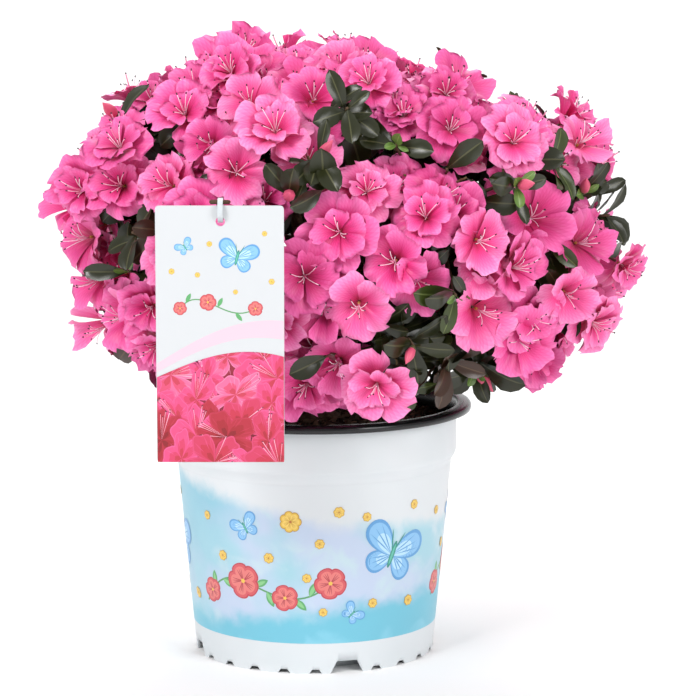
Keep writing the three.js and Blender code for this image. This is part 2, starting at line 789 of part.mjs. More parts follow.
function buildMass(cell, number) {
  const random = chance(101 + number);
  const stem = new THREE.LineCurve3(stemPoint(cell, 0), stemPoint(cell, 1));
  const stemPiece = twig(stem, 1, STEM_RADIUS, STEM_RADIUS * 0.7);
  const grown = { pieces: [stemPiece, core(cell, random)], flowers: [], taken: [] };
  const ends = [];
  for (const spray of cell.sprays) {
    const made = settleFlower(cell, spray, ends, random);
    if (!made) continue;
    const tuftEnd = made.centre.clone().addScaledVector(made.normal, -TUFT_SINK);
    ends.push({ ...made, end: spray.tuft ? tuftEnd : made.heart, tuft: spray.tuft });
  }
  const branches = [];
  ends.forEach((spray, order) => {
    const main = order < BRANCHES;
    const from = main ? stemPoint(cell, 0.95 - order * BRANCH_STEP) : branchFrom(branches, spray.end);
    const startRadius = main ? BRANCH_RADIUS : TWIG_RADIUS;
    spray.path = twigPath(from, spray);
    if (main) branches.push(spray.path);
    grown.pieces.push(twig(spray.path, 2, startRadius, TWIG_RADIUS));
    if (!spray.tuft) {
      grown.flowers.push(spray);
      grown.pieces.push(spray.geometry);
    }
  });
  for (const spray of ends) {
    const count = spray.tuft ? TUFT_LEAVES : LEAVES_PER_TWIG;
    const stretch = spray.tuft ? TUFT_STRETCH : TWIG_STRETCH;
    addLeaves(cell, grown, spray.path, count, stretch, random);
  }
  if (cell.name === SPUR_CELL) grown.pieces.push(...spur(branches));
  const solid = wasm.Manifold.union(grown.pieces.map(solidOf));
  addPiece(`mass_${cell.name}`, geometryOf(mainBody(solid)), BLOSSOM);
}

// Tag.
function buildTag() {
  const shape = new THREE.Shape();
  const x = TAG_WIDTH / 2;
  const y = TAG_HEIGHT / 2;
  const r = TAG_CORNER;
  shape.moveTo(-x + r, -y);
  shape.lineTo(x - r, -y);
  shape.quadraticCurveTo(x, -y, x, -y + r);
  shape.lineTo(x, y - r);
  shape.quadraticCurveTo(x, y, x - r, y);
  shape.lineTo(-x + r, y);
  shape.quadraticCurveTo(-x, y, -x, y - r);
  shape.lineTo(-x, -y + r);
  shape.quadraticCurveTo(-x, -y, -x + r, -y);
  const hole = new THREE.Path();
  hole.absarc(TAG_HOLE.x - TAG_CENTRE.x, TAG_HOLE.z - TAG_CENTRE.z, TAG_HOLE_RADIUS, 0, 2 * Math.PI);
  shape.holes.push(hole);
  const geometry = new THREE.ExtrudeGeometry(shape, {
    depth: TAG_THICK,
    bevelEnabled: false,
    curveSegments: 5,
  });
  geometry.rotateX(Math.PI / 2);
  geometry.translate(TAG_CENTRE.x, TAG_CENTRE.y + TAG_THICK / 2, TAG_CENTRE.z);
  addPiece("tag", geometryOf(solidOf(geometry)), TAG_CARD);
}

// The tie is a closed flat loop: through the hole, up over the tag's edge and round the spur.
function tieLoop(shape, grow) {
  shape.absellipse(0, 0, TIE_HALF_DEPTH + grow, TIE_HALF_HEIGHT + grow, 0, 2 * Math.PI);
  return shape;
}

function buildTie() {
  const loop = tieLoop(new THREE.Shape(), TIE_THICK / 2);
  loop.holes.push(tieLoop(new THREE.Path(), -TIE_THICK / 2));
  const geometry = new THREE.ExtrudeGeometry(loop, {
    depth: TIE_WIDTH,
    bevelEnabled: false,
    curveSegments: 7,
  });
  geometry.rotateX(Math.PI / 2);
  geometry.rotateZ(Math.PI / 2);
  geometry.translate(TIE_CENTRE.x - TIE_WIDTH / 2, TIE_CENTRE.y, TIE_CENTRE.z);
  addPiece("tag_tie", geometryOf(solidOf(geometry)), TIE_PLASTIC);
}

buildPot();
buildRim();
buildSoil();
buildTrunk();
buildBoughs();
dealSprays();
cells.forEach(buildMass);
buildTag();
buildTie();

export default part;
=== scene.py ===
import math

import bpy
import numpy as np
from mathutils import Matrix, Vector


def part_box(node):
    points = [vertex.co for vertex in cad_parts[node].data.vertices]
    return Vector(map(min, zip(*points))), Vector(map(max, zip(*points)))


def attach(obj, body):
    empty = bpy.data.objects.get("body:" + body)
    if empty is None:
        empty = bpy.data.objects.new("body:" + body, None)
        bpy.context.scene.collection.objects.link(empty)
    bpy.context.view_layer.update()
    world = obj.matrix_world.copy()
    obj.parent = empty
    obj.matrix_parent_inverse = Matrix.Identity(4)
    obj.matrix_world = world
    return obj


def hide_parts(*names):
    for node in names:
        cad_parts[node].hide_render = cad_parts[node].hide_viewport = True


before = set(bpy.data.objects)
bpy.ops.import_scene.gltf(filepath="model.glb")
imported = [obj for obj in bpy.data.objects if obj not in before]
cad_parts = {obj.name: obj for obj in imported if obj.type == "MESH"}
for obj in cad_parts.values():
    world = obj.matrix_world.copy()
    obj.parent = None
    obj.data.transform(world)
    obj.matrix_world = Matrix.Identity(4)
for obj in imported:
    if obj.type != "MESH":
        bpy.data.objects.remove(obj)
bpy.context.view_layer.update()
mm = 0.001
fullTurn = 2 * math.pi
print("frame loaded")


# colour and materials

def linear(hexColour):
    channels = [int(hexColour[i : i + 2], 16) / 255 for i in (1, 3, 5)]
    return [c / 12.92 if c <= 0.04045 else ((c + 0.055) / 1.055) ** 2.4 for c in channels] + [1]


def addNode(material, kind, settings=None, inputs=None, links=None):
    node = material.node_tree.nodes.new(kind)
    for name, value in (settings or {}).items():
        setattr(node, name, value)
    for name, value in (inputs or {}).items():
        node.inputs[name].default_value = value
    for name, source in (links or {}).items():
        material.node_tree.links.new(source, node.inputs[name])
    return node


def makeMaterial(name, colour, roughness, **inputs):
    material = bpy.data.materials.new(name)
    material.use_nodes = True
    surface = material.node_tree.nodes["Principled BSDF"]
    surface.inputs["Base Color"].default_value = linear(colour)
    surface.inputs["Roughness"].default_value = roughness
    for key, value in inputs.items():
        surface.inputs[key.replace("_", " ")].default_value = value
    return material


# feeds one socket of the material's own shader
def drive(material, socket, output):
    surface = material.node_tree.nodes["Principled BSDF"]
    material.node_tree.links.new(output, surface.inputs[socket])


# colour that wanders between hex colours with noise of a size in millimetres
def mottle(material, colours, size, detail=4):
    where = addNode(material, "ShaderNodeTexCoord").outputs["Object"]
    inputs = {"Scale": 1 / (size * mm), "Detail": detail, "Roughness": 0.6}
    noise = addNode(material, "ShaderNodeTexNoise", inputs=inputs, links={"Vector": where})
    ramp = addNode(material, "ShaderNodeValToRGB", links={"Fac": noise.outputs["Fac"]})
    stops = ramp.color_ramp.elements
    for number, spot in enumerate(np.linspace(0.32, 0.68, len(colours))):
        stop = stops[number] if number < 2 else stops.new(spot)  # a ramp starts with two stops
        stop.position, stop.color = spot, linear(colours[number])
    drive(material, "Base Color", ramp.outputs["Color"])


# fine relief from noise; depth and size in millimetres
def roughen(material, size, depth, detail=6):
    where = addNode(material, "ShaderNodeTexCoord").outputs["Object"]
    inputs = {"Scale": 1 / (size * mm), "Detail": detail}
    noise = addNode(material, "ShaderNodeTexNoise", inputs=inputs, links={"Vector": where})
    inputs = {"Strength": 0.6, "Distance": depth * mm}
    bump = addNode(material, "ShaderNodeBump", inputs=inputs, links={"Height": noise.outputs["Fac"]})
    drive(material, "Normal", bump.outputs["Normal"])


# meshes from arrays

class Pile:
    def __init__(self):
        self.points, self.triangles, self.choices, self.count = [], [], [], 0

    def add(self, points, triangles, choice=0):
        self.points.append(points)
        self.triangles.append(triangles + self.count)
        self.choices.append(np.broadcast_to(np.asarray(choice), len(triangles)))
        self.count += len(points)


def addObject(name, data):
    added = bpy.data.objects.new(name, data)
    bpy.context.collection.objects.link(added)
    return added


def makePiece(name, pile, materials, replaced=(), smooth=True):
    points = np.concatenate(pile.points) * mm
    triangles = np.concatenate(pile.triangles).astype(np.int32)
    mesh = bpy.data.meshes.new(name)
    mesh.vertices.add(len(points))
    mesh.vertices.foreach_set("co", points.astype(np.float32).ravel())
    mesh.loops.add(triangles.size)
    mesh.loops.foreach_set("vertex_index", triangles.ravel())
    mesh.polygons.add(len(triangles))
    mesh.polygons.foreach_set("loop_start", np.arange(0, triangles.size, 3, dtype=np.int32))
    mesh.polygons.foreach_set("use_smooth", np.full(len(triangles), smooth))
    for material in materials:
        mesh.materials.append(material)
    mesh.polygons.foreach_set("material_index", np.concatenate(pile.choices).astype(np.int32))
    mesh.update(calc_edges=True)
    piece = addObject(name, mesh)
    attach(piece, "root")
    if replaced:
        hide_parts(*replaced)
    print(name, len(triangles), "triangles")
    return piece


# triangles of a grid of rows by columns; around joins the last column to the first
def gridTriangles(rows, columns, around=False):
    across = columns if around else columns - 1
    row, column = np.meshgrid(np.arange(rows - 1), np.arange(across), indexing="ij")
    a = (row * columns + column).ravel()
    b = (row * columns + (column + 1) % columns).ravel()
    return np.concatenate([np.stack([a, b, b + columns], 1), np.stack([a, b + columns, a + columns], 1)])


def unit(vectors):
    vectors = np.asarray(vectors, float)
    return vectors / np.linalg.norm(vectors, axis=-1, keepdims=True)


# a round tube along points, with a radius at each and closed by a point at either end
def tube(path, radii, sides):
    path = np.asarray(path, float)
    along = unit(np.gradient(path, axis=0))
    seed = np.array([1.0, 0, 0]) if abs(along[0][2]) > 0.9 else np.array([0, 0, 1.0])
    across = unit(seed - along * (along @ seed)[:, None])
    other = np.cross(along, across)
    turn = np.arange(sides) * fullTurn / sides
    ring = across[:, None] * np.cos(turn)[None, :, None] + other[:, None] * np.sin(turn)[None, :, None]
    points = (path[:, None] + ring * np.asarray(radii)[:, None, None]).reshape(-1, 3)
    side = np.arange(sides)
    nextSide = (side + 1) % sides
    last = (len(path) - 1) * sides
    start = np.stack([side * 0 + len(points), nextSide, side], 1)
    end = np.stack([side * 0 + len(points) + 1, last + side, last + nextSide], 1)
    triangles = np.concatenate([gridTriangles(len(path), sides, around=True), start, end])
    return np.concatenate([points, path[:1], path[-1:]]), triangles


def bezier(points, steps):
    t = np.linspace(0, 1, steps)[:, None]
    points = [np.asarray(point, float) for point in points]
    while len(points) > 1:
        points = [a + (b - a) * t for a, b in zip(points, points[1:])]
    return points[0]


# the growth rule, as in the part's source

crown = {
    "centre": np.array([20.0, 0, 275]),
    "width": 199,
    "depth": 162,
    "rise": 124,
    "drop": 113,
    "squareness": 2.5,
    "droop": 0.3,
    # turn, rise, gain and spread of each bulge
    "bulges": [(8, -42, 0.1, 22), (180, 20, 0.04, 20)],
    # side, gain and spread of each lobe or dip of the edge seen from the front
    "edgeLobes": [
        (4, -0.11, 11), (20, -0.06, 9), (39, -0.27, 9), (54, -0.08, 9), (73, -0.15, 12),
        (105, -0.08, 9), (140, -0.12, 8), (163, -0.08, 9), (188, -0.13, 9),
    ],
    "edgeDepth": 0.75,
}
# rise of each ring of masses, height of its limbs on the trunk, and its first turn and places
rings = {
    "skirt": (-22, 186, 0, ["front", "right_front", "right_back", "back", "left_back", "left_front"]),
    "waist": (12, 202, 30, ["front_right", "right", "back_right", "back_left", "left", "front_left"]),
    "shoulder": (46, 217, 0, ["front", "right", "back_right", "back_left", "left"]),
    "top": (88, 226, 90, ["middle"]),
}
limbs = {
    "foot": np.array([0, 0, 149.3]),
    "top": np.array([9.0, -2, 226]),
    "footRadius": 9,
    "topRadius": 6,
    "flare": 9,
    "flareHeight": 12,
    "rootRadius": 3.6,
    "tipRadius": 2.2,
    "gap": 0.3,
    "sunk": 2,  # how far a root is carried into the trunk, so that the bark joins
    "reach": 0.4,
    "bend": 17,
    "stemReach": 0.68,
    "stemRadius": 1.6,
    # rows along the trunk and a bough, and sides round them
    "trunkGrid": (48, 28),
    "boughGrid": (22, 12),
    "furrow": 0.45,
}
sprays = {
    "count": 196,
    "lowest": -47,
    "reach": 0.965,
    "sink": 0.04,
    "branches": 3,
    "tuftShare": 0.1,
    "tuftSpread": 10,
    # turn and rise of the places where leaves show in place of blossom
    "tufts": [
        (65, 17), (41, 8), (20, 23), (-3, 29), (-18, 11),
        (-76, 28), (-56, -5), (20, -18), (-6, -23), (38, -32),
    ],
    # turn and rise of single sprays that end in leaves as well
    "leafy": [(-49, 38), (75, 25), (88, 3), (28, -6), (-40, 12)],
    "leafySpread": 5.5,
    # dips of the edge that the wide blossoms would close
    "dips": [
        (-40, -0.09, 7), (9, -0.05, 7), (42, -0.16, 13), (72, -0.27, 9),
        (100, -0.14, 12), (120, -0.05, 7), (144, -0.07, 6), (190, -0.03, 8),
    ],
    # open places where the rim and the sky show below the crown: turn, rise and spread
    "clearings": [(31, -45, 11), (50, -46, 10), (64, -41, 8)],
}


def direction(turn, rise):
    turn, rise = math.radians(turn), math.radians(rise)
    return np.array([math.sin(turn) * math.cos(rise), -math.cos(turn) * math.cos(rise), math.sin(rise)])


# draws numbers from 0 to 1, the same ones as in the part's source
def chance(seed):
    state = [seed]

    def draw():
        state[0] = (state[0] * 1664525 + 1013904223) % 4294967296
        return state[0] / 4294967296

    for _ in range(3):
        draw()
    return draw


# what the lobes and dips of the edge add to the reach
def edgeGain(headings, lobes):
    side = np.degrees(np.arctan2(headings[:, 2], headings[:, 0]))
    fade = np.exp(-((headings[:, 1] / crown["edgeDepth"]) ** 2))
    total = np.zeros(len(headings))
    for lobe, gain, spread in lobes:
        away = ((side - lobe + 540) % 360 - 180) / spread
        total += gain * fade * np.exp(-away * away)
    return total


def reach(headings):
    headings = np.atleast_2d(headings)
    level = np.hypot(headings[:, 0] / crown["width"], headings[:, 1] / crown["depth"])
    upright = np.abs(headings[:, 2]) / np.where(headings[:, 2] > 0, crown["rise"], crown["drop"])
    total = level ** crown["squareness"] + upright ** crown["squareness"]
    gains = np.ones(len(headings))
    for turn, rise, gain, spread in crown["bulges"]:
        away = np.arccos(np.clip(headings @ direction(turn, rise), -1, 1)) / math.radians(spread)
        gains += gain * np.exp(-away * away)
    return (gains + edgeGain(headings, crown["edgeLobes"])) / total ** (1 / crown["squareness"])


def crownPoint(heading, share):
    return crown["centre"] + heading * reach(heading)[0] * share


def facing(heading):
    tall = heading[2] / crown["rise"] ** 2
    if heading[2] <= 0:
        tall = heading[2] * crown["droop"] / crown["drop"] ** 2
    return unit([heading[0] / crown["width"] ** 2, heading[1] / crown["depth"] ** 2, tall])


cells = []
for ringName, (rise, limbHeight, firstTurn, places) in rings.items():
    for number, place in enumerate(places):
        turn = firstTurn + number * 360 / len(places)
        cell = {"name": f"{ringName}_{place}", "turn": turn, "heading": direction(turn, rise)}
        cells.append(cell | {"limb": limbHeight, "sprays": []})


def trunkPath(steps):
    middle = limbs["foot"] * [1, 1, 0] + [0, 0, (limbs["foot"][2] + limbs["top"][2]) / 2]
    return bezier([limbs["foot"], middle, limbs["top"]], steps)


def trunkRadius(t):
    height = t * (limbs["top"][2] - limbs["foot"][2])
    flare = limbs["flare"] * np.exp(-2.5 * height / limbs["flareHeight"])
    return limbs["footRadius"] + (limbs["topRadius"] - limbs["footRadius"]) * t + flare


def boughPath(cell, steps):
    tip = crownPoint(cell["heading"], limbs["reach"])
    share = (cell["limb"] - limbs["foot"][2]) / (limbs["top"][2] - limbs["foot"][2])
    t = min(share, 1)
    spine = trunkPath(201)
    row = round(t * (len(spine) - 1))
    along = unit(np.gradient(spine, axis=0))[row]
    level = direction(cell["turn"], 0)
    outward = along if share >= 1 else unit(level - along * (level @ along))
    root = spine[row]
    start = root + outward * (limbs["gap"] if share >= 1 else trunkRadius(t) + limbs["gap"])
    bend = start + outward * limbs["bend"]
    arrive = tip - cell["heading"] * limbs["bend"]
    return np.concatenate([[root + outward * limbs["sunk"]], bezier([start, bend, arrive, tip], steps)])


def near(heading, places, spread):
    return any(math.acos(min(1, heading @ direction(*place))) < math.radians(spread) for place in places)


def dealSprays():
    draw = chance(11)
    lowest = math.sin(math.radians(sprays["lowest"]))
    for count in range(sprays["count"]):
        height = lowest + (1 - lowest) * (count + 0.5) / sprays["count"]
        heading = direction((count * 137.508) % 360, math.degrees(math.asin(height)))  # golden angle
        leafy = near(heading, sprays["tufts"], sprays["tuftSpread"])
        leafy = near(heading, sprays["leafy"], sprays["leafySpread"]) or leafy
        hidden = heading[1] > 0.2 and draw() < sprays["tuftShare"]
        nearest = max(cells, key=lambda cell: cell["heading"] @ heading)
        share = sprays["reach"] - (count % 3) * sprays["sink"]
        share += edgeGain(heading[None], sprays["dips"])[0]
        nearest["sprays"].append({"heading": heading, "share": share, "tuft": leafy or hidden})
    for cell in cells:
        cell["sprays"].sort(key=lambda spray: -spray["share"])


dealSprays()
print("sprays dealt", sum(len(cell["sprays"]) for cell in cells))


# trunk and boughs with the bark's relief

bark = makeMaterial("azaleaBark", "#6b4f3c", 0.85)  # thin woody bark, grey-brown and dull
mottle(bark, ["#4a3629", "#6b4f3c", "#86705c"], size=3.5)
roughen(bark, size=1.2, depth=0.5)


# furrows that run up the trunk and wander round it, with a finer grain
def furrow(points, middles):
    out = unit(points - middles)
    wave = np.sin(points[:, 2] * 0.9) * np.sin(np.arctan2(out[:, 1], out[:, 0]) * 7 + points[:, 2] * 0.12)
    grain = np.sin(points @ np.array([1.9, 2.3, 0.7])) * 0.5
    return points + out * ((wave + grain) * limbs["furrow"])[:, None]


def buildLimbs():
    pile = Pile()
    rows, sides = limbs["trunkGrid"]
    spine = trunkPath(rows)
    points, triangles = tube(spine, trunkRadius(np.linspace(0, 1, rows)), sides)
    points[:-2] = furrow(points[:-2], np.repeat(spine, sides, axis=0) - [0, 0, 0.01])
    pile.add(points, triangles)
    rows, sides = limbs["boughGrid"]
    for number, cell in enumerate(cells):
        path = boughPath(cell, rows)
        radii = np.linspace(limbs["rootRadius"], limbs["tipRadius"], len(path))
        radii *= 1 + 0.09 * np.sin(np.arange(len(path)) * 1.9 + number)  # slight knots
        pile.add(*tube(path, radii, sides))
        cell["tip"] = path[-1]
    names = ["trunk"] + [f"bough_{cell['name']}" for cell in cells]
    makePiece("trunkAndBoughs", pile, [bark], names)


buildLimbs()


# twigs, and the places of blossoms, leaves and buds

growth = {
    "twigGrid": (7, 5),  # rows along a twig and sides round it
    "twigBend": 0.45,
    "twigWander": 0.6,
    "oldRadius": 1.5,
    "youngRadius": 1.0,
    "lowerRadius": 0.9,
    # radius of a twig's tip below a tuft, a blossom and a lower blossom or shoot
    "tuftTip": 0.9,
    "blossomTip": 0.8,
    "lowerTip": 0.7,
    "spiral": 2.4,  # golden angle from leaf to leaf
    "tilt": 0.26,
    "sizes": (20, 27),
    "doubles": 0.62,
    # how far below a blossom its twig ends, as a share of its size, and below a tuft and a shoot
    "seat": 0.6,
    "tuftSeat": 13,
    "shootSeat": 11,
    # how often a tuft of leaves has young leaves and a bud, and the bud's length
    "youngTufts": 0.5,
    "budTufts": 0.4,
    "budLengths": (13, 19),
    # blossoms and shoots lower down beside each spray: degrees away from it, and how far in
    "lowerLeans": (7, 10),
    "lowerBlossoms": 0.7,
    "lowerDoubles": 0.5,
    "lowerSizes": (19, 24),
    "lowerSinks": (0.05, 0.11),
    "shootSinks": (0, 0.05),
}
# number of leaves, stretch of the twig that bears them, lengths, and how far they open down it
leafSets = {
    "tuft": (9, 0.42, (27, 38), (0.65, 1.85)),
    "young": (3, 0.05, (10, 17), (0.3, 1.0)),
    "spray": (7, 0.5, (21, 30), (0.7, 1.45)),
    "lower": (6, 0.5, (22, 31), (0.8, 1.5)),
    "shoot": (7, 0.4, (23, 34), (0.75, 1.75)),
    "inner": (5, 0.85, (22, 32), (0.8, 1.6)),
}
rng = np.random.default_rng(7)
twigs = Pile()
blossoms, leaves, buds = [], [], []


def frameOf(normal, turn):
    side = np.cross([0, 0, 1.0], normal)
    side = unit(side) if np.linalg.norm(side) > 0.1 else np.array([1.0, 0, 0])
    up = np.cross(normal, side)
    u = side * math.cos(turn) + up * math.sin(turn)
    return u, np.cross(normal, u)


def addTwig(start, end, arrive, startRadius, endRadius):
    rows, sides = growth["twigGrid"]
    bend = end - arrive * growth["twigBend"] * np.linalg.norm(end - start)
    path = bezier([start, bend, end], rows)
    wander = rng.normal(0, growth["twigWander"], path.shape)
    wander[[0, -1]] = 0
    twigs.add(*tube(path + wander, np.linspace(startRadius, endRadius, rows), sides), int(startRadius < 1))
    return path


# leaves in a spiral along the last stretch of a twig, more open the lower they are
def addLeaves(path, kind, tint):
    count, stretch, lengths, openings = leafSets[kind]
    along = unit(np.gradient(path, axis=0))
    first = rng.random() * 6
    for number in range(count):
        share = (number + 0.5) / count
        spot = (1 - stretch * share) * (len(path) - 1)
        below, part = int(spot), spot % 1
        above = min(below + 1, len(path) - 1)
        root = path[below] * (1 - part) + path[above] * part
        axis = along[min(round(spot), len(path) - 1)]
        u, _ = frameOf(axis, first + number * growth["spiral"])
        opening = openings[0] + (openings[1] - openings[0]) * share + rng.normal(0, 0.12)
        droop = [0, 0, rng.uniform(0.05, 0.4)]
        way = unit(axis * math.cos(opening) + u * math.sin(opening) - droop)
        face = axis * math.sin(opening) - u * math.cos(opening)
        face = unit(face - way * (face @ way))
        length = rng.uniform(*lengths) * (0.75 + 0.25 * share)
        leaves.append((root, way, face, length, tint))


# blossoms at the sides turn a little to the front, where the light came from as it grew
def towardsLight(heading):
    return np.array([0, -0.58, 0.06]) * np.clip(0.75 - heading[1], 0, 1)


def inClearing(heading):
    return any(near(heading, [place[:2]], place[2]) for place in sprays["clearings"])


def buildSpray(spray, start, radius):
    heading = spray["heading"]
    normal = unit(facing(heading) + rng.normal(0, growth["tilt"], 3) + towardsLight(heading))
    size = rng.uniform(*growth["sizes"])
    tint = rng.integers(0, 3)
    leafTint = rng.choice([0, 0, 0, 1, 2])
    if spray["tuft"]:
        end = crownPoint(heading, spray["share"] + 0.05) - normal * growth["tuftSeat"]
        path = addTwig(start, end, normal, radius, growth["tuftTip"])
        addLeaves(path, "tuft", leafTint)
        if rng.random() < growth["youngTufts"]:
            addLeaves(path, "young", 3)
        if rng.random() < growth["budTufts"]:
            way = unit(normal + rng.normal(0, 0.5, 3))
            buds.append((end, way, rng.uniform(*growth["budLengths"])))
        return path
    centre = crownPoint(heading, spray["share"])
    end = centre - normal * size * growth["seat"]
    path = addTwig(start, end, normal, radius, growth["blossomTip"])
    blossoms.append((centre, normal, size, tint, rng.random() < growth["doubles"]))
    addLeaves(path, "spray", leafTint)
    return path


# a lower blossom or a leafy shoot beside a spray
def buildCompanion(spray, path, first):
    heading = spray["heading"]
    u, _ = frameOf(heading, first)
    lean = unit(heading + u * math.radians(rng.uniform(*growth["lowerLeans"])))
    if lean[2] < math.sin(math.radians(sprays["lowest"] + 3)) or inClearing(lean):
        return
    normal = unit(facing(lean) + u * 0.3 + rng.normal(0, 0.15, 3) + towardsLight(lean))
    start, radii = path[len(path) // 2], (growth["lowerRadius"], growth["lowerTip"])
    if rng.random() < growth["lowerBlossoms"] and not spray["tuft"]:
        centre = crownPoint(lean, spray["share"] - rng.uniform(*growth["lowerSinks"]))
        size = rng.uniform(*growth["lowerSizes"])
        twig = addTwig(start, centre - normal * size * growth["seat"], normal, *radii)
        tint = rng.integers(0, 3)
        blossoms.append((centre, normal, size, tint, rng.random() < growth["lowerDoubles"]))
        addLeaves(twig, "lower", rng.choice([0, 0, 1]))
    else:
        centre = crownPoint(lean, spray["share"] - rng.uniform(*growth["shootSinks"]))
        twig = addTwig(start, centre - normal * growth["shootSeat"], normal, *radii)
        addLeaves(twig, "shoot", rng.choice([0, 0, 0, 1, 2]))


def growCell(cell):
    stemEnd = crownPoint(cell["heading"], limbs["stemReach"])
    stem = np.stack([cell["tip"] + (stemEnd - cell["tip"]) * t for t in np.linspace(0, 1, 6)])
    twigs.add(*tube(stem, np.linspace(limbs["tipRadius"], limbs["stemRadius"], len(stem)), 7))
    branches = []
    for order, spray in enumerate(cell["sprays"]):
        if inClearing(spray["heading"]):
            continue
        if len(branches) < sprays["branches"]:
            start = cell["tip"] + (stemEnd - cell["tip"]) * (0.95 - len(branches) * 0.22)
            path = buildSpray(spray, start, growth["oldRadius"])
            branches.append(path)
        else:
            end = crownPoint(spray["heading"], spray["share"])
            last = len(branches[0]) - 1
            spots = [branch[round(t * last)] for branch in branches for t in (0.3, 0.45, 0.6, 0.75)]
            start = min(spots, key=lambda spot: np.linalg.norm(spot - end))
            path = buildSpray(spray, start, growth["youngRadius"])
        first = rng.random() * fullTurn
        buildCompanion(spray, path, first)
        if order % 2:
            buildCompanion(spray, path, first + rng.uniform(2, 4))
        addLeaves(path, "inner", 0)  # leaves on the older wood keep the crown dense


for cell in cells:
    growCell(cell)
print("blossoms", len(blossoms), "leaves", len(leaves), "buds", len(buds))


# what stays clear of the rim, the tag and its tie

_, rimHigh = [np.array(corner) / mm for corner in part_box("pot_rim")]
tagLow, tagHigh = [np.array(corner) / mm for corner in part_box("tag")]
tieLow, tieHigh = [np.array(corner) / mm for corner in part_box("tag_tie")]
rimTop, rimRadius = rimHigh[2], rimHigh[0]
tagRoom, tieRoom = 3, 2  # millimetres left free beside the tag and round the tie


def clearOfThings(points, room=2.0):
    points = np.atleast_2d(points)
    low = (points[:, 2] < rimTop + room) & (np.hypot(points[:, 0], points[:, 1]) < rimRadius + room)
    beside = np.abs(points[:, 0] - (tagLow[0] + tagHigh[0]) / 2) < (tagHigh[0] - tagLow[0]) / 2 + tagRoom
    level = (points[:, 2] > tagLow[2] - tagRoom) & (points[:, 2] < tagHigh[2] + tagRoom)
    before = points[:, 1] < tagHigh[1] + room
    nearTie = np.all((points > tieLow - tieRoom) & (points < tieHigh + tieRoom), axis=1)
    return not np.any(low | (beside & level & before) | nearTie)


# points of a blossom's outline, tested against the rim and the tag
def blossomClear(centre, normal, size):
    u, v = frameOf(normal, 0)
    turns = np.arange(8) * fullTurn / 8
    edge = centre + (np.cos(turns)[:, None] * u + np.sin(turns)[:, None] * v) * size
    return clearOfThings(np.concatenate([edge, edge + normal * 4]))


# draws a blossom in and up until it is clear, or leaves it out
def settleBlossom(centre, normal, size):
    for _ in range(12):
        if blossomClear(centre, normal, size):
            return centre, size
        centre = centre + unit(crown["centre"] - centre) * 2 + np.array([0, 0, 1.5])
        size *= 0.985
    return None


placed = []
for centre, normal, size, tint, double in blossoms:
    found = settleBlossom(centre, normal, size)
    if found:
        placed.append((found[0], normal, found[1], tint, double))
blossoms = placed
print("blossoms placed", len(blossoms))


# petals

petals = {
    "bands": 9,
    # throat, middle and edge of each of three tints of one pink, and where the middle is; the deep throat is
    # partly the flower's own blotch and partly painted shade of the funnel, the pale edge partly painted
    # light
    "tints": [
        ("#a0103a", "#dc307f", "#f476b6"),
        ("#94103a", "#cb2a72", "#e863a7"),
        ("#b01a44", "#e43e88", "#fa8dc4"),
    ],
    "middle": 0.4,
    "rows": 9,
    "columns": 13,
    "innerColumns": 10,
    # how far the edge draws back at its sides, how far it falls, and the cup across the petal
    "notch": (0.24, 0.36),
    "fall": (0, 0.28),
    "cup": (-0.16, 0.3),
}


def between(first, last, share):
    mixed = [int(first[i : i + 2], 16) * (1 - share) + int(last[i : i + 2], 16) * share for i in (1, 3, 5)]
    return "#" + "".join(f"{round(channel):02x}" for channel in mixed)


# thin soft petals with a faint downy sheen, deep at the throat and paler to the edge: partly their own
# colour, partly painted shade in the throat and painted light at the rim
def petalMaterials():
    materials = []
    for number, (throat, middle, edge) in enumerate(petals["tints"]):
        for band in range(petals["bands"]):
            share = band / (petals["bands"] - 1)
            if share < petals["middle"]:
                colour = between(throat, middle, share / petals["middle"])
            else:
                colour = between(middle, edge, (share - petals["middle"]) / (1 - petals["middle"]))
            name = f"azaleaPetal{number}{band}"
            materials.append(makeMaterial(name, colour, 0.48, Sheen_Weight=0.15, Sheen_Roughness=0.4))
    return materials


# one lobe of the corolla: a fan from the funnel's foot with a round, ruffled edge; unit radius.
# Of each pair of triangles the outer takes the next band, so that the bands run into each other
def petalGrid(draw, turn, size, pitch, wide, columns):
    rows = petals["rows"]
    s = np.linspace(0, 1, rows)[:, None]
    w = np.linspace(-1, 1, columns)[None, :]
    phases = draw.uniform(0, 6, 5)
    edge = 1 - draw.uniform(*petals["notch"]) * np.abs(w) ** 3.2
    edge = edge + 0.025 * np.sin(w * 5 + phases[0]) + 0.012 * np.sin(w * 13 + phases[3])
    out = edge * (0.04 + 0.96 * s**1.1)
    angle = w * wide * (0.9 + 0.1 * s)
    height = -0.6 * (1 - out) ** 1.7 - draw.uniform(*petals["fall"]) * out**4 + pitch * out
    height = height + draw.uniform(*petals["cup"]) * (w**2 - 0.35) * s**2
    ruffle = 0.08 * np.sin(w * 3.6 + phases[1]) + 0.075 * np.sin(w * 7.5 + phases[2]) * np.abs(w)
    ruffle = ruffle + 0.035 * np.sin(w * 12 + phases[4]) * s
    crease = 0.06 * np.exp(-((w / 0.16) ** 2)) * np.sin(math.pi * s)
    height = height + ruffle * s**2.5
    height = height + 0.06 * w * s - crease
    points = np.stack([out * np.cos(angle + turn), out * np.sin(angle + turn), height + 0 * out], -1)
    triangles = gridTriangles(rows, columns)
    outer, quad = np.divmod(np.arange(len(triangles)), (rows - 1) * (columns - 1))
    return points.reshape(-1, 3) * size, triangles, quad // (columns - 1) + outer


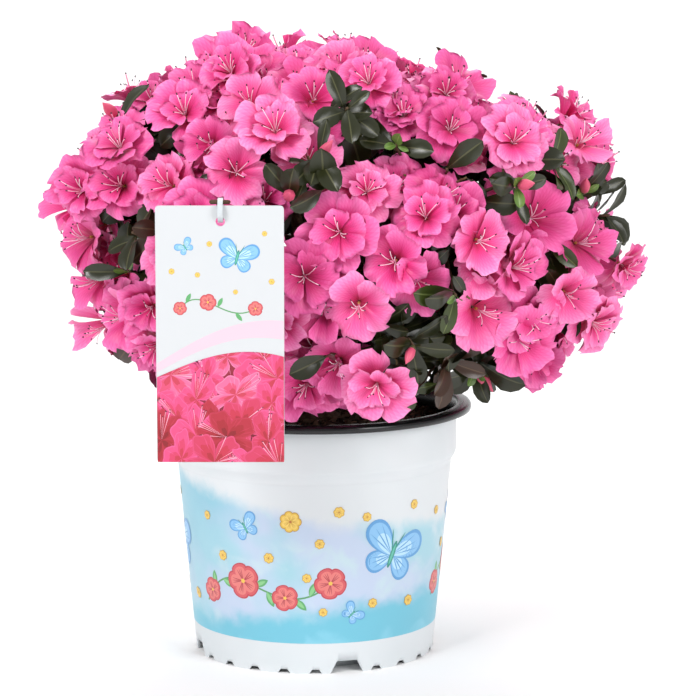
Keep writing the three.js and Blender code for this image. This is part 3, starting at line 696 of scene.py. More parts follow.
# five outer petals, and in a double blossom five smaller, steeper ones between them
def blossomTemplate(seed, double):
    draw = np.random.default_rng(seed)
    pile = Pile()
    for petal in range(5):
        turn = petal * fullTurn / 5 + draw.normal(0, 0.07)
        lean = draw.normal(0.02, 0.17)
        size, wide = draw.uniform(0.92, 1.05), draw.uniform(0.7, 0.84)
        pile.add(*petalGrid(draw, turn, size, lean, wide, petals["columns"]))
    for petal in range(5 if double else 0):
        turn = (petal + 0.5) * fullTurn / 5 + draw.normal(0, 0.14)
        lean = draw.uniform(0.14, 0.46)
        size, wide = draw.uniform(0.56, 0.8), draw.uniform(0.62, 0.8)
        pile.add(*petalGrid(draw, turn, size, lean, wide, petals["innerColumns"]))
    return np.concatenate(pile.points), np.concatenate(pile.triangles), np.concatenate(pile.choices)


doubleBlossoms = [blossomTemplate(seed, True) for seed in range(8)]
singleBlossoms = [blossomTemplate(seed, False) for seed in range(20, 26)]


def buildBlossoms():
    materials = petalMaterials()
    piles = [Pile() for _ in petals["tints"]]
    for number, (centre, normal, size, tint, double) in enumerate(blossoms):
        choice = doubleBlossoms if double else singleBlossoms
        points, triangles, band = choice[number % len(choice)]
        u, v = frameOf(normal, rng.random() * fullTurn)
        stretch = rng.uniform(0.92, 1.07, 3) * [1, 1, rng.uniform(0.7, 1.3)]
        points = centre + (points * stretch * size) @ np.stack([u, v, normal])
        piles[tint].add(points, triangles, band + petals["bands"] * tint)
    names = [f"mass_{cell['name']}" for cell in cells]
    for tint, pile in enumerate(piles):
        makePiece(f"petals{tint}", pile, materials, names)


buildBlossoms()


# stamens and pistils that stand far out of the throat and curve up

stamens = {
    "count": 6,
    # depth of the throat, spread and lengths, as shares of the blossom's size
    "throat": 0.42,
    "spread": (0.14, 0.4),
    "lengths": (0.5, 0.8),
    "pistils": (0.8, 1.0),
    # shorter on blossoms that face up
    "upLengths": (0.5, 0.65),
    "upPistils": (0.8, 0.8),
}
stamenMaterials = [
    makeMaterial("filament", "#fddcea", 0.5),  # pale pink, thin and soft
    makeMaterial("anther", "#3d1426", 0.6),  # dark purple-brown dust sacs
    makeMaterial("pistil", "#f08fb4", 0.45),  # rose style, a little glossy
    makeMaterial("ovary", "#b58a45", 0.5),  # ochre-green foot of the pistil
]


def ball(centre, axis, length, radius, sides):
    t = np.array([0.02, 0.25, 0.75, 0.98])
    path = centre + np.outer(t - 0.5, axis * length)
    return tube(path, radius * np.sin(np.pi * t) ** 0.7, sides)


def buildStamens():
    pile = Pile()
    for centre, normal, size, _, _ in blossoms:
        level = normal[2] < 0.5
        lengths = stamens["lengths" if level else "upLengths"]
        pistils = stamens["pistils" if level else "upPistils"]
        u, v = frameOf(normal, rng.random() * 6)
        throat = centre - normal * size * stamens["throat"]
        for number in range(stamens["count"]):
            turn = number * fullTurn / stamens["count"] + rng.normal(0, 0.3)
            side = u * math.cos(turn) + v * math.sin(turn)
            length = size * rng.uniform(*lengths)
            end = throat + normal * length + side * size * rng.uniform(*stamens["spread"])
            end = end + np.array([0, 0, rng.uniform(0, 3)])
            bend = throat + normal * length * 0.65 + side * size * 0.05 - np.array([0, 0, 1.5])
            if not clearOfThings(end, 1.0):
                continue
            pile.add(*tube(bezier([throat, bend, end], 5), np.linspace(0.34, 0.25, 5), 3), 0)
            pile.add(*ball(end, unit(end - bend), 1.7, 0.5, 4), 1)
        pile.add(*ball(throat - normal * size * 0.04, normal, size * 0.16, size * 0.05, 5), 3)
        end = throat + normal * size * rng.uniform(*pistils) + np.array([0, 0, 2])
        if clearOfThings(end, 1.0):
            path = bezier([throat, throat + normal * size * 0.7, end], 6)
            pile.add(*tube(path, np.linspace(0.5, 0.36, 6), 4), 2)
            pile.add(*ball(end, normal, 1.3, 0.65, 5), 1)
    makePiece("stamens", pile, stamenMaterials)


buildStamens()


# leaves

# leathery evergreen leaves, glossy above, in four tints, each with a paler midrib: partly the rib's own paler
# green and partly a painted highlight along it
leafTints = {
    "Dark": ("#23260f", "#4a4a2e", 0.28),
    "Bronze": ("#3b2519", "#553f2c", 0.28),
    "Green": ("#364019", "#5f6a3a", 0.28),
    "Young": ("#5f7c38", "#7f9a50", 0.34),
}
leafMaterials = [makeMaterial(f"leaf{tint}", face, gloss) for tint, (face, _, gloss) in leafTints.items()]
leafMaterials += [makeMaterial(f"rib{tint}", rib, 0.36) for tint, (_, rib, _) in leafTints.items()]


# a leaf widest past its middle, with a round tip, a fold along the midrib and side veins
def leafTemplate(draw, wide):
    s = np.array([0, 0.1, 0.28, 0.48, 0.67, 0.84, 0.95, 1])[:, None]
    w = np.array([-1, -0.55, -0.07, 0.07, 0.55, 1])[None, :]
    half = np.array([0.015, 0.05, 0.14, 0.22, 0.26, 0.225, 0.14, 0.02])[:, None] * wide
    bend = draw.uniform(0.06, 0.34)
    height = 0.32 * np.abs(w) ** 1.3 * half - bend * s**2 + 0.02 * np.sin(s * 9 + draw.uniform(0, 6)) * w
    height = height + 0.022 * np.sin(s * 34) * (1 - np.abs(w)) * np.sign(np.abs(w) - 0.1)
    points = np.stack([s + 0 * w, w * half, height], -1).reshape(-1, 3)
    triangles = gridTriangles(len(s), w.size)
    # the midrib strip takes the paler tint: the rib's own colour and a painted highlight
    rib = np.arange(len(triangles)) % (w.size - 1) == 2  # the strip in the middle
    return points, triangles, rib


leafWidths = [1, 0.8, 1.15, 0.95, 0.6, 1.05]
leafShapes = [leafTemplate(np.random.default_rng(40 + n), wide) for n, wide in enumerate(leafWidths)]


# leaves that would pass through a petal or leave the crown are left out
def freeLeaves():
    roots = np.array([leaf[0] for leaf in leaves])
    ways = np.array([leaf[1] for leaf in leaves])
    lengths = np.array([leaf[3] for leaf in leaves])[:, None]
    out = roots + ways * lengths - crown["centre"]
    far = np.linalg.norm(out, axis=1)
    keep = far < reach(out / far[:, None]) * 1.05
    for share in (0.45, 0.75, 1):
        spots = roots + ways * lengths * share
        for centre, normal, size, _, _ in blossoms:
            away = spots - centre
            height = away @ normal
            aside = np.sqrt(np.maximum(0, (away**2).sum(1) - height**2))
            inward = size * 0.97 - aside
            keep &= ~((inward > 0) & (height > -0.6 * inward - 1) & (height < size * 0.6))
    for number in np.flatnonzero(keep):
        spots = [roots[number] + ways[number] * lengths[number] * share for share in (0.4, 0.7, 1)]
        keep[number] = clearOfThings(spots)
    return np.flatnonzero(keep)


def buildLeaves():
    pile = Pile()
    for number in freeLeaves():
        root, way, face, length, tint = leaves[number]
        points, triangles, rib = leafShapes[number % len(leafShapes)]
        across = unit(np.cross(face, way))
        points = root + (points * length) @ np.stack([way, across, face])
        pile.add(points, triangles, tint + len(leafTints) * rib)
    makePiece("leaves", pile, leafMaterials)


buildLeaves()
twigBark = [  # thin smooth bark, brown on old wood and greener on young
    makeMaterial("twigBarkOld", "#57412f", 0.8),
    makeMaterial("twigBarkYoung", "#6f5a3a", 0.7),
]
makePiece("twigs", twigs, twigBark)


# buds: furled coral petals above greenish brown scales

budPink = makeMaterial("budPetal", "#d65374", 0.45)  # tightly furled petals, coral and silky
budScale = makeMaterial("budScale", "#5d5738", 0.55)  # papery scales, olive brown


def buildBuds():
    pile = Pile()
    for root, way, length in buds:
        if not clearOfThings(root + way * length * 1.4):
            continue
        t = np.linspace(0, 1, 9)
        radii = length * 0.2 * np.sin(np.pi * (0.12 + 0.86 * t)) ** 1.2
        pile.add(*tube(root + np.outer(t * length, way), radii, 8), 0)
        cover = t[:5] * 0.45
        radii = length * 0.21 * np.sin(np.pi * (0.12 + 0.86 * cover)) ** 1.1
        pile.add(*tube(root + np.outer(cover * length, way), radii, 8), 1)
    makePiece("buds", pile, [budPink, budScale])


buildBuds()


# pot

potWhite = makeMaterial("printedPotPlastic", "#d5dadd", 0.38)  # white moulded plastic, satin
mottle(potWhite, ["#d2d8db", "#d8dcdf"], size=60, detail=2)
lipBlack = makeMaterial("blackPotPlastic", "#101113", 0.25)  # glossy black plastic lining
mottle(lipBlack, ["#0e0f11", "#141517"], size=40, detail=2)
pot = {
    "foot": 75.9,
    "wallTop": 87.4,
    "wallHeight": 124,
    "wall": 1.6,
    "sides": 720,
    "underSides": 96,
    "lipSides": 240,
    # heights at which the wall has a row of points, outside and inside
    "rows": (2.6, 5, 8, 14, 20, 40, 70, 100, 122),
    "innerRows": (20, 8.5, 2.6, 0),
    "wideTurn": 16,
    # half width, run of the sloping side and height of the foot's gaps and scallops
    "gap": (10.5, 4, 8),
    "scallop": (4, 1.8, 2.6),
    # radius and height pairs of the collar, the underside and the rolled lip
    "collar": [(87.9, 124.6), (89.6, 127), (90.4, 129), (90.5, 131), (90.5, 148), (90.7, 150), (90.5, 154.7)],
    "under": [(0.01, 0), (58, 0), (61, 8.5), (74.6, 8.5)],
    "lip": [
        (87.7, 131), (87.7, 150), (88.2, 154), (90.2, 158.6), (91.2, 159.6), (93, 159.8), (97.8, 159.8),
        (99.2, 159.3), (99.9, 158.2), (100, 156.6), (99.6, 155.4), (98.6, 155), (91, 155), (88.9, 155),
    ],
}


# a body turned from radius and height pairs; lift gives the lowest height at each turn
def turned(profile, sides, lift=None):
    radius, height = np.array(profile, float).T[:, :, None]
    turn = np.arange(sides) * fullTurn / sides
    points = np.stack([radius * np.sin(turn), -radius * np.cos(turn), height + 0 * turn], -1)
    if lift is not None:
        points[..., 2] = np.maximum(points[..., 2], lift(turn)[None])
    return points.reshape(-1, 3), gridTriangles(len(profile), sides, around=True)


def wallRadius(height):
    return pot["foot"] + (pot["wallTop"] - pot["foot"]) * height / pot["wallHeight"]


# height of the foot's edge round the pot: four wide gaps and rows of small scallops
def footLift(turn):
    def notch(degrees, half, run, height):
        return np.clip((half - degrees * math.pi / 180 * pot["foot"]) / run, 0, 1) * height

    quarter = (np.degrees(turn) - pot["wideTurn"]) % 90
    wide = notch(np.minimum(quarter, 90 - quarter), *pot["gap"])
    return np.maximum(wide, notch(np.abs((quarter + 7.5) % 15 - 7.5), *pot["scallop"]))


def buildPot():
    pile = Pile()
    outer = [(pot["foot"], 0)] + [(wallRadius(z), z) for z in pot["rows"]]
    pile.add(*turned(outer + pot["collar"], pot["sides"], footLift))
    inner = [(wallRadius(z) - pot["wall"], z) for z in pot["innerRows"]] + outer[:1]
    pile.add(*turned(inner, pot["sides"], footLift))
    points, triangles = turned(pot["under"], pot["underSides"])
    pile.add(points, triangles[:, ::-1])
    makePiece("potShell", pile, [potWhite], ["pot"])


def buildLip():
    pile = Pile()
    points, triangles = turned(pot["lip"], pot["lipSides"])
    pile.add(points, triangles[:, ::-1])
    makePiece("potLip", pile, [lipBlack], ["pot_rim"])


buildPot()
buildLip()


# compost: dark bark and peat with grit

peat = makeMaterial("peat", "#42332a", 0.95)  # damp, dull and crumbly
mottle(peat, ["#2b211b", "#4a392d", "#69523f"], size=5)
roughen(peat, size=2.5, depth=1.5)
crumbs = [
    makeMaterial("peatCrumb", "#44342a", 0.95),  # damp lumps
    makeMaterial("barkChip", "#574132", 0.9),  # torn bark, dark and fibrous
    makeMaterial("barkChipPale", "#7d6250", 0.9),  # its dry side
    makeMaterial("perlite", "#cfcabf", 0.9),  # chalky white grains
]
soil = {
    "radii": [87.2, 84, 78, 70, 60, 50, 40, 30, 20, 10, 0.01],
    "slope": [20, 87.2],  # level inside the first radius, and falling to the second
    "heights": [149, 146.5],
    "unevenness": 0.5,
    "sides": 120,
    "count": 1500,
    "spread": 86,  # how far out crumbs lie
    "crumbHeights": [149.3, 146.9],
    # share of each kind of crumb, and its sizes
    "shares": [0.3, 0.4, 0.26, 0.04],
    "sizes": [(1.5, 5.5), (1.5, 5.5), (1.5, 5.5), (1, 2)],
}


def buildSoil():
    pile, loose = Pile(), Pile()
    draw = np.random.default_rng(3)
    heights = np.interp(soil["radii"], soil["slope"], soil["heights"])
    points, triangles = turned(np.stack([soil["radii"], heights], 1), soil["sides"])
    points[:, 2] += draw.normal(0, soil["unevenness"], len(points))
    pile.add(points, triangles)
    for _ in range(soil["count"]):
        radius = soil["spread"] * math.sqrt(draw.random())
        turn = draw.random() * fullTurn
        height = np.interp(radius, soil["slope"], soil["crumbHeights"])
        kind = draw.choice([0, 1, 2, 3], p=soil["shares"])
        size = draw.uniform(*soil["sizes"][kind])
        axis = unit(draw.normal(0, 1, 3) * [1, 1, 0.4])
        spot = np.array([radius * math.sin(turn), -radius * math.cos(turn), height])
        loose.add(*ball(spot, axis, size * 1.6, size * 0.4, 4), kind)
    makePiece("compost", pile, [peat], ["soil"], smooth=False)
    makePiece("compostCrumbs", loose, crumbs, smooth=False)


buildSoil()


# printed shapes: flat outlines laid on the wall of the pot or on the tag

inkLift = 0.14  # how far the first level stands off what it is printed on


class Print:
    # step is the height of a level, and ring the widest stretch that is laid down flat
    def __init__(self, place, step, ring=1000, trim=None):
        self.place, self.step, self.ring, self.trim = place, step, ring, trim
        self.pile, self.colours = Pile(), []

    # a filled outline; shapes of a higher level lie a hair above those of a lower one
    def shape(self, outline, colour, level=0):
        outline = np.asarray(outline, float)
        if self.trim:
            outline = self.trim(outline)
        if len(outline) < 3:
            return
        if colour not in self.colours:
            self.colours.append(colour)
        count, centre = len(outline), outline.mean(0)
        away = outline - centre
        steps = math.ceil(np.abs(away).max() / self.ring)
        flat = [centre + away * (1 - step / steps) for step in range(steps)] + [centre[None]]
        edge, inner = np.arange(count), (steps - 1) * count
        fan = np.stack([inner + edge, inner + (edge + 1) % count, edge * 0 + steps * count], 1)
        triangles = np.concatenate([gridTriangles(steps, count, around=True), fan])
        points = self.place(np.concatenate(flat), inkLift + self.step * level)
        self.pile.add(points, triangles, self.colours.index(colour))


# keeps the part of a convex outline that lies in a box of low and high corners
def clipTo(outline, box):
    for axis, limit, sign in ((0, box[0], 1), (1, box[1], 1), (0, box[2], -1), (1, box[3], -1)):
        kept = []
        for a, b in zip(outline, np.roll(outline, -1, axis=0)):
            insideA, insideB = (a[axis] - limit) * sign >= 0, (b[axis] - limit) * sign >= 0
            if insideA:
                kept.append(a)
            if insideA != insideB:
                kept.append(a + (b - a) * (limit - a[axis]) / (b[axis] - a[axis]))
        outline = np.array(kept)
        if len(outline) < 3:
            break
    return outline


# points at a along and b across, turned and set down at x and y
def setDown(x, y, turn, a, b):
    c, s = math.cos(turn), math.sin(turn)
    return np.stack([x + a * c - b * s, y + a * s + b * c], 1)


# both sides of a shape that is the same on either side of its length
def mirrored(x, y, turn, a, half):
    return setDown(x, y, turn, np.concatenate([a, a[-2:0:-1]]), np.concatenate([half, -half[-2:0:-1]]))


def oval(x, y, length, width, turn=0):
    t = np.arange(18) * fullTurn / 18
    return setDown(x, y, turn, np.cos(t) * length / 2, np.sin(t) * width / 2)


# a pointed leaf from its root
def blade(x, y, length, width, turn):
    t = np.linspace(0, 1, 9)
    return mirrored(x, y, turn, t * length, width / 2 * np.sin(math.pi * t) ** 0.8)


# a wing or a petal: narrow at its root and round at its end
def wing(x, y, length, width, turn):
    t = np.linspace(0, math.pi, 15)
    share = (1 - np.cos(t)) / 2
    return mirrored(x, y, turn, share * length, width / 2 * np.sin(t) * (0.45 + 0.55 * share) * 1.25)


# a blossom of overlapping petals, each with a deep edge and a paler middle; size is its radius
def paintBlossom(ink, x, y, size, turn, tones, level=0, count=5):
    spread = fullTurn / count
    wide = size * 1.8 * math.sin(spread / 2)
    for petal in range(count):
        angle = turn + petal * spread
        above = level + petal * 0.5
        for part, (length, width) in enumerate(((1, 1), (0.94, 0.86), (0.8, 0.64))):
            ink.shape(wing(x, y, size * length, wide * width, angle), tones[part], above + part * 3)
        for vein in (-0.2, 0, 0.2):
            ink.shape(blade(x, y, size * 0.72, size * 0.04, angle + vein), tones[3], level + 9.5 + vein)
    ink.shape(oval(x, y, size * 0.24, size * 0.24), tones[4], level + 10)


# an open azalea seen a little from one side, with a ruffled edge, streaks of light and long stamens
def paintAzalea(ink, x, y, size, tones, draw, level):
    lean, narrow, first = draw.uniform(0, 6, 3) * [1, 0.08, 1]
    t = np.linspace(0, 1, 25)

    # lays points drawn round the throat down on the card, narrowed across the lean
    def lay(out, turn):
        return setDown(x, y, lean, out * np.cos(turn), out * np.sin(turn) * (1 - narrow))

    for petal in range(5):
        turn = first + petal * 1.257 + draw.normal(0, 0.06)  # a fifth of a turn
        ruffle = 0.05 * np.sin(t * 19 + draw.uniform(0, 6)) * np.sin(math.pi * t) ** 0.5
        edge = size * (np.sin(math.pi * t) ** 0.42 + ruffle) * draw.uniform(0.86, 1)
        spread = (t - 0.5) * draw.uniform(1.3, 1.6)
        above = level + petal * 0.4
        for part, (length, wide) in enumerate(((1, 1), (0.95, 0.92), (0.66, 0.72), (0.36, 0.6))):
            ink.shape(lay(edge * length, turn + spread * wide), tones[part], above + part * 2)
        for streak in (-0.42, -0.2, 0.24, 0.45):
            at = turn + streak * draw.uniform(0.8, 1.2)
            wide = draw.uniform(0.01, 0.035)
            outline = lay(size * np.array([0.4, 0.62, 0.86, 0.66]), at + np.array([0, wide, 0, -wide]))
            ink.shape(outline, tones[0], above + 6.2)
    for thread in range(5):
        way = draw.uniform(-0.5, 0.5)
        end = size * draw.uniform(0.65, 0.9)
        line = lay(np.array([0.0, end, end, 0.0]), way + np.array([-0.3, -0.012, 0.012, 0.3]))
        ink.shape(line, "#efb0c6", level + 10 + thread * 0.1)
        tip = lay(np.array([end]), np.array([way]))[0]
        ink.shape(oval(*tip, 0.9, 0.6), "#5e1a30", level + 10.6 + thread * 0.1)


def butterfly(ink, x, y, size, turn, tones, level=12):
    up = turn + math.pi / 2
    for side in (1, -1):
        for lean, length, width, above in ((0.62, 1, 0.66, 4), (-0.62, 0.72, 0.56, 0)):
            angle = up - side * (math.pi / 2 - lean)
            above += level + 0.5 * side
            for part, (long, wide) in enumerate(((1, 1), (0.92, 0.8), (0.62, 0.5))):
                outline = wing(x, y, size * length * long, size * width * wide, angle)
                ink.shape(outline, tones[part], above + part)
            for vein in (-0.22, 0, 0.22):
                outline = blade(x, y, size * length * 0.82, size * 0.03, angle + vein)
                ink.shape(outline, tones[0], above + 3 + vein)
        ink.shape(blade(x, y, size * 0.62, size * 0.035, up - side * 0.32), tones[3], level + 8 + side)
    ink.shape(oval(x, y, size * 0.66, size * 0.13, up), tones[3], level + 10)
    ink.shape(oval(x, y, size * 0.5, size * 0.06, up), tones[4], level + 11)


# a line of even width along a path
def stroke(ink, path, width, colour, level):
    along = np.gradient(path, axis=0)
    side = np.stack([-along[:, 1], along[:, 0]], 1) / np.linalg.norm(along, axis=1, keepdims=True) * width / 2
    left, right = path + side, path - side
    for n in range(len(path) - 1):
        ink.shape([right[n], right[n + 1], left[n + 1], left[n]], colour, level)


# a curved stem with leaves on either side and blossoms along it
def sprig(ink, ends, flowers, tones, size):
    path = bezier(ends, 33)
    stroke(ink, path, size * 0.12, "#5c9a63", 0)
    along = np.gradient(path, axis=0)
    for number in range(3, 31, 3):
        way = math.atan2(along[number][1], along[number][0]) + (0.8 if number % 2 else -0.8)
        ink.shape(blade(*path[number], size * 1.15, size * 0.5, way), "#5fa569", 1)
        ink.shape(blade(*path[number], size * 0.95, size * 0.26, way), "#86c286", 2)
    for number, part in flowers:
        paintBlossom(ink, *path[number], size * part, number, tones, 3)


# each ink is a thin film, as satin as what it is printed on
def printPiece(name, ink, roughness):
    materials = [makeMaterial(f"{name}Ink{n}", colour, roughness) for n, colour in enumerate(ink.colours)]
    makePiece(name, ink.pile, materials, smooth=False)


# label: a watercolour wash, blue at the foot and fading to white at the top

wash = {
    "columns": 240,
    "rows": 16,
    "foot": 19.6,
    "top": 121,
    "lift": 0.08,
    "margin": 0.01,  # left free round the flat layout
    "ground": "#a0cbd8",
    # size in millimetres, detail and distortion of each noise
    "noises": {"broad": (60, 3, 0.0), "middle": (22, 4, 0.4), "fine": (7, 5, 0.8)},
    # colour of each layer, how far each value counts, and where the layer starts and is full
    "layers": [
        ("#bccae0", {"broad": 1}, 0.38, 0.56),
        ("#bfd5de", {"middle": 1}, 0.5, 0.75),
        ("#89bed0", {"x": -1, "broad": 60, "middle": 30, "z": 0.5}, 118, 172),
        ("#70bcd1", {"x": 0.13, "middle": -24, "fine": -4, "z": -1}, -60, -44),
        ("#82c6da", {"middle": 60, "fine": 8, "z": -1}, 10, 24),
        ("#d5dadd", {"x": 0.2, "broad": 34, "fine": 6, "z": 1}, 113, 127),
    ],
}


# thin printed film, satin: noise in each layer of colour lets the one below show through
def washMaterial():
    film = makeMaterial("watercolourWash", wash["ground"], 0.36)
    where = addNode(film, "ShaderNodeTexCoord").outputs["Object"]
    split = addNode(film, "ShaderNodeSeparateXYZ", links={"Vector": where})
    values = {}
    for name, axis in (("x", "X"), ("z", "Z")):
        length = addNode(film, "ShaderNodeMath", {"operation": "DIVIDE"}, {1: mm}, {0: split.outputs[axis]})
        values[name] = length.outputs["Value"]
    for name, (size, detail, distortion) in wash["noises"].items():
        inputs = {"Scale": 1 / (size * mm), "Detail": detail, "Distortion": distortion}
        noise = addNode(film, "ShaderNodeTexNoise", inputs=inputs, links={"Vector": where})
        values[name] = noise.outputs["Fac"]
    below = None
    for colour, factors, start, full in wash["layers"]:
        total = None
        for name, factor in factors.items():
            links = {0: values[name]} if total is None else {0: values[name], 2: total}
            term = addNode(film, "ShaderNodeMath", {"operation": "MULTIPLY_ADD"}, {1: factor, 2: 0}, links)
            total = term.outputs["Value"]
        settings, inputs = {"interpolation_type": "SMOOTHSTEP"}, {"From Min": start, "From Max": full}
        share = addNode(film, "ShaderNodeMapRange", settings, inputs, {"Value": total})
        inputs = {6: linear(wash["ground"]), 7: linear(colour)}
        links = {0: share.outputs["Result"]} if below is None else {0: share.outputs["Result"], 6: below}
        below = addNode(film, "ShaderNodeMix", {"data_type": "RGBA"}, inputs, links).outputs[2]
    drive(film, "Base Color", below)
    return film


def buildWash():
    columns, rows, margin = wash["columns"], wash["rows"], wash["margin"]
    profile = [(wallRadius(z) + wash["lift"], z) for z in np.linspace(wash["foot"], wash["top"], rows)]
    pile = Pile()
    pile.add(*turned(profile, columns))
    piece = makePiece("labelWash", pile, [washMaterial()])
    # the wash is laid out flat for the export: across the turn and up the height
    flat = piece.data.uv_layers.new(name="OFBake")
    corners = np.zeros(len(piece.data.loops), np.int32)
    piece.data.loops.foreach_get("vertex_index", corners)
    across = (corners % columns).reshape(-1, 3)
    seam = (across.max(1) - across.min(1) > columns / 2)[:, None]
    across = np.where(seam & (across < columns / 2), across + columns, across)
    up, span = corners // columns / (rows - 1), 1 - 2 * margin
    places = np.stack([margin + span * across.ravel() / columns, margin + span * up], 1)
    flat.data.foreach_set("uv", places.ravel().astype(np.float32))


buildWash()


def onWall(flat, lift):
    radius = wallRadius(flat[:, 1]) + lift
    turn = flat[:, 0] / wallRadius(flat[:, 1].mean())
    return np.stack([radius * np.sin(turn), -radius * np.cos(turn), flat[:, 1]], 1)


# sprigs with coral blossoms, blue butterflies and yellow daisies, made up for this pot
coralTones = ["#b8434f", "#cf5a60", "#dd7a76", "#a53844", "#e6bd55"]
blueTones = ["#5f9bd0", "#86bbe4", "#b4d9ef", "#3d8f80", "#62b9a5"]
yellowTones = ["#b98c3a", "#e0b84e", "#eccb6a", "#c99a3c", "#b5713a"]
label = {
    "turns": (0, 120, 240),
    "radius": 82,
    "sprig": [(-78, 40), (-50, 88), (-22, 22), (14, 62)],
    "flowers": [(2, 0.9), (12, 1.3), (22, 0.95), (31, 1.15)],  # place along the sprig, and share of the size
    "flowerSize": 9,
    # across, up, size and, for a butterfly, turn
    "butterflies": [(52, 74, 27, -0.35), (-44, 92, 12, 0.5), (24, 38, 9, -0.8)],
    "daisies": [
        (-14, 98, 7), (4, 84, 3.2), (-28, 74, 3.4), (16, 104, 3.6), (34, 100, 3), (-62, 72, 3.4),
        (38, 44, 3.2), (66, 42, 3.6), (-4, 62, 3), (-76, 96, 3), (70, 104, 3.2), (6, 40, 2.8),
    ],
}


def buildLabel():
    ink = Print(onWall, 0.007, ring=3)
    for labelTurn in label["turns"]:
        start = math.radians(labelTurn) * label["radius"]
        ends = [(start + x, y) for x, y in label["sprig"]]
        sprig(ink, ends, label["flowers"], coralTones, label["flowerSize"])
        for x, y, size, turn in label["butterflies"]:
            butterfly(ink, start + x, y, size, turn, blueTones)
        for number, (x, y, size) in enumerate(label["daisies"]):
            paintBlossom(ink, start + x, y, size, number, yellowTones, 26, count=7)
    printPiece("labelPrint", ink, 0.38)


buildLabel()


# tag: a pale card with a picture of azaleas under a curved edge, and a swoosh above it

tagCard = makeMaterial("printedTagCard", "#cacdd0", 0.34)  # thin plastic card, printed white, satin
roughen(tagCard, size=30, depth=0.05, detail=2)  # a hardly seen waviness of the sheet
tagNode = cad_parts["tag"]
tagNode.data.materials.clear()
tagNode.data.materials.append(tagCard)
tag = {
    "left": tagLow[0] + 0.3,
    "right": tagHigh[0] - 0.3,
    "foot": tagLow[2] + 0.3,
    "top": tagHigh[2] - 0.3,
    "width": tagHigh[0] - tagLow[0] - 0.6,
    "edge": (50, 15, 2.2),  # height of the picture's edge, its rise, and its bend in radians
    "swoosh": (53, 7, 5, 6),  # height, its gain to the right, width, and its gain
    # number of azaleas and how many to a row, height of the first row, fall to the next, spaces
    # to the width, and the height at which outlines are cut off before they meet the edge
    "azaleas": 24,
    "perRow": 4,
    "firstRow": 62,
    "rowStep": 12.5,
    "spaces": 3.5,
    "cut": 70,
    "azaleaSizes": (17, 24),
    # outer to inner colours of pink, rose, red and pale azaleas
    "tones": [
        ["#e0588c", "#d84a7c", "#cc3c62", "#bb3448"],
        ["#d04670", "#c6395c", "#bc3048", "#a62836"],
        ["#b63048", "#ab283a", "#9e222e", "#861a24"],
        ["#e67ca4", "#de6692", "#d24c70", "#c03c52"],
    ],
    # across and down from the card's upper left corner, then size and turn
    "butterflies": [(47, 30, 14, -0.25), (17, 24, 6.5, 0.6)],
    "daisies": [(9, 38, 1.8), (24, 40, 1.6), (31, 22, 1.7), (63, 16, 1.6), (67, 44, 1.8), (46, 50, 1.5)],
    "sprig": [(12, 62), (26, 40), (40, 74), (60, 58)],
    "flowers": [(1, 4), (10, 5), (23, 4.4)],  # place along the sprig, and size
}


def onTag(flat, lift):
    return np.stack([flat[:, 0], np.full(len(flat), tagLow[1] - lift + 0.1), flat[:, 1]], 1)


def buildTagPicture():
    left, right, foot, width = tag["left"], tag["right"], tag["foot"], tag["width"]
    start, rise, bend = tag["edge"]

    def edgeAt(x):
        return foot + start + rise * np.sin((x - left) / width * bend)

    def underEdge(outline):
        outline = clipTo(outline, (left, foot, right, foot + tag["cut"]))
        if len(outline) < 3:
            return outline
        top = edgeAt(outline[:, 0])
        if np.all(outline[:, 1] > top):
            return outline[:0]
        return np.stack([outline[:, 0], np.minimum(outline[:, 1], top)], 1)

    picture = Print(onTag, 0.003, trim=underEdge)
    x = np.linspace(left, right, 30)
    for a, b in zip(x, x[1:]):
        picture.shape([(a, foot), (b, foot), (b, edgeAt(b)), (a, edgeAt(a))], "#8c2236")
    draw = np.random.default_rng(5)
    for number in range(tag["azaleas"]):
        row, column = divmod(number, tag["perRow"])
        x = left + (column + (row % 2) * 0.5) * width / tag["spaces"] + draw.uniform(-4, 4)
        y = foot + tag["firstRow"] - row * tag["rowStep"] + draw.uniform(-3, 3)
        tones = tag["tones"][draw.choice([0, 1, 3] if row < 3 else [0, 1, 2])]
        paintAzalea(picture, x, y, draw.uniform(*tag["azaleaSizes"]), tones, draw, 1 + 12 * number)
    printPiece("tagPicture", picture, 0.34)


# the card's own motifs, on its white
def buildTagMotifs():
    ink = Print(onTag, 0.005)
    left, top = tag["left"], tag["top"]
    (_, rise, bend), (start, lift, thick, gain) = tag["edge"], tag["swoosh"]
    share = np.linspace(0, 1, 30)
    x = left + share * tag["width"]
    low = tag["foot"] + start + rise * np.sin(share * bend) + lift * share
    high = low + thick + gain * share
    for n in range(len(x) - 1):
        m = n + 1
        ink.shape([(x[n], low[n]), (x[m], low[m]), (x[m], high[m]), (x[n], high[n])], "#ddc0ce")
    for across, down, size, turn in tag["butterflies"]:
        butterfly(ink, left + across, top - down, size, turn, blueTones, 0)
    path = bezier([(left + across, top - down) for across, down in tag["sprig"]], 25)
    stroke(ink, path, 0.7, "#5c9a63", 1)
    for number in (3, 8, 13, 18):
        ink.shape(blade(*path[number], 6, 2.4, 1.1 if number % 2 else -0.9), "#5fa569", 2)
    for number, size in tag["flowers"]:
        paintBlossom(ink, *path[number], size, number, coralTones, 3)
    for across, down, size in tag["daisies"]:
        paintBlossom(ink, left + across, top - down, size, across, yellowTones, 0, count=6)
    printPiece("tagMotifs", ink, 0.34)


buildTagPicture()
buildTagMotifs()


# tie: a flat loop through the tag's hole and round the spur, and the spur itself

tieNylon = makeMaterial("tieNylon", "#c3c9ce", 0.35)  # milky moulded nylon
mottle(tieNylon, ["#bcc3c8", "#ccd1d5"], size=6, detail=2)
tie = {"steps": 72, "thick": 0.8, "spurPlace": (-6, 3, 4.2), "spurLength": 10, "spurRadius": 1.1}


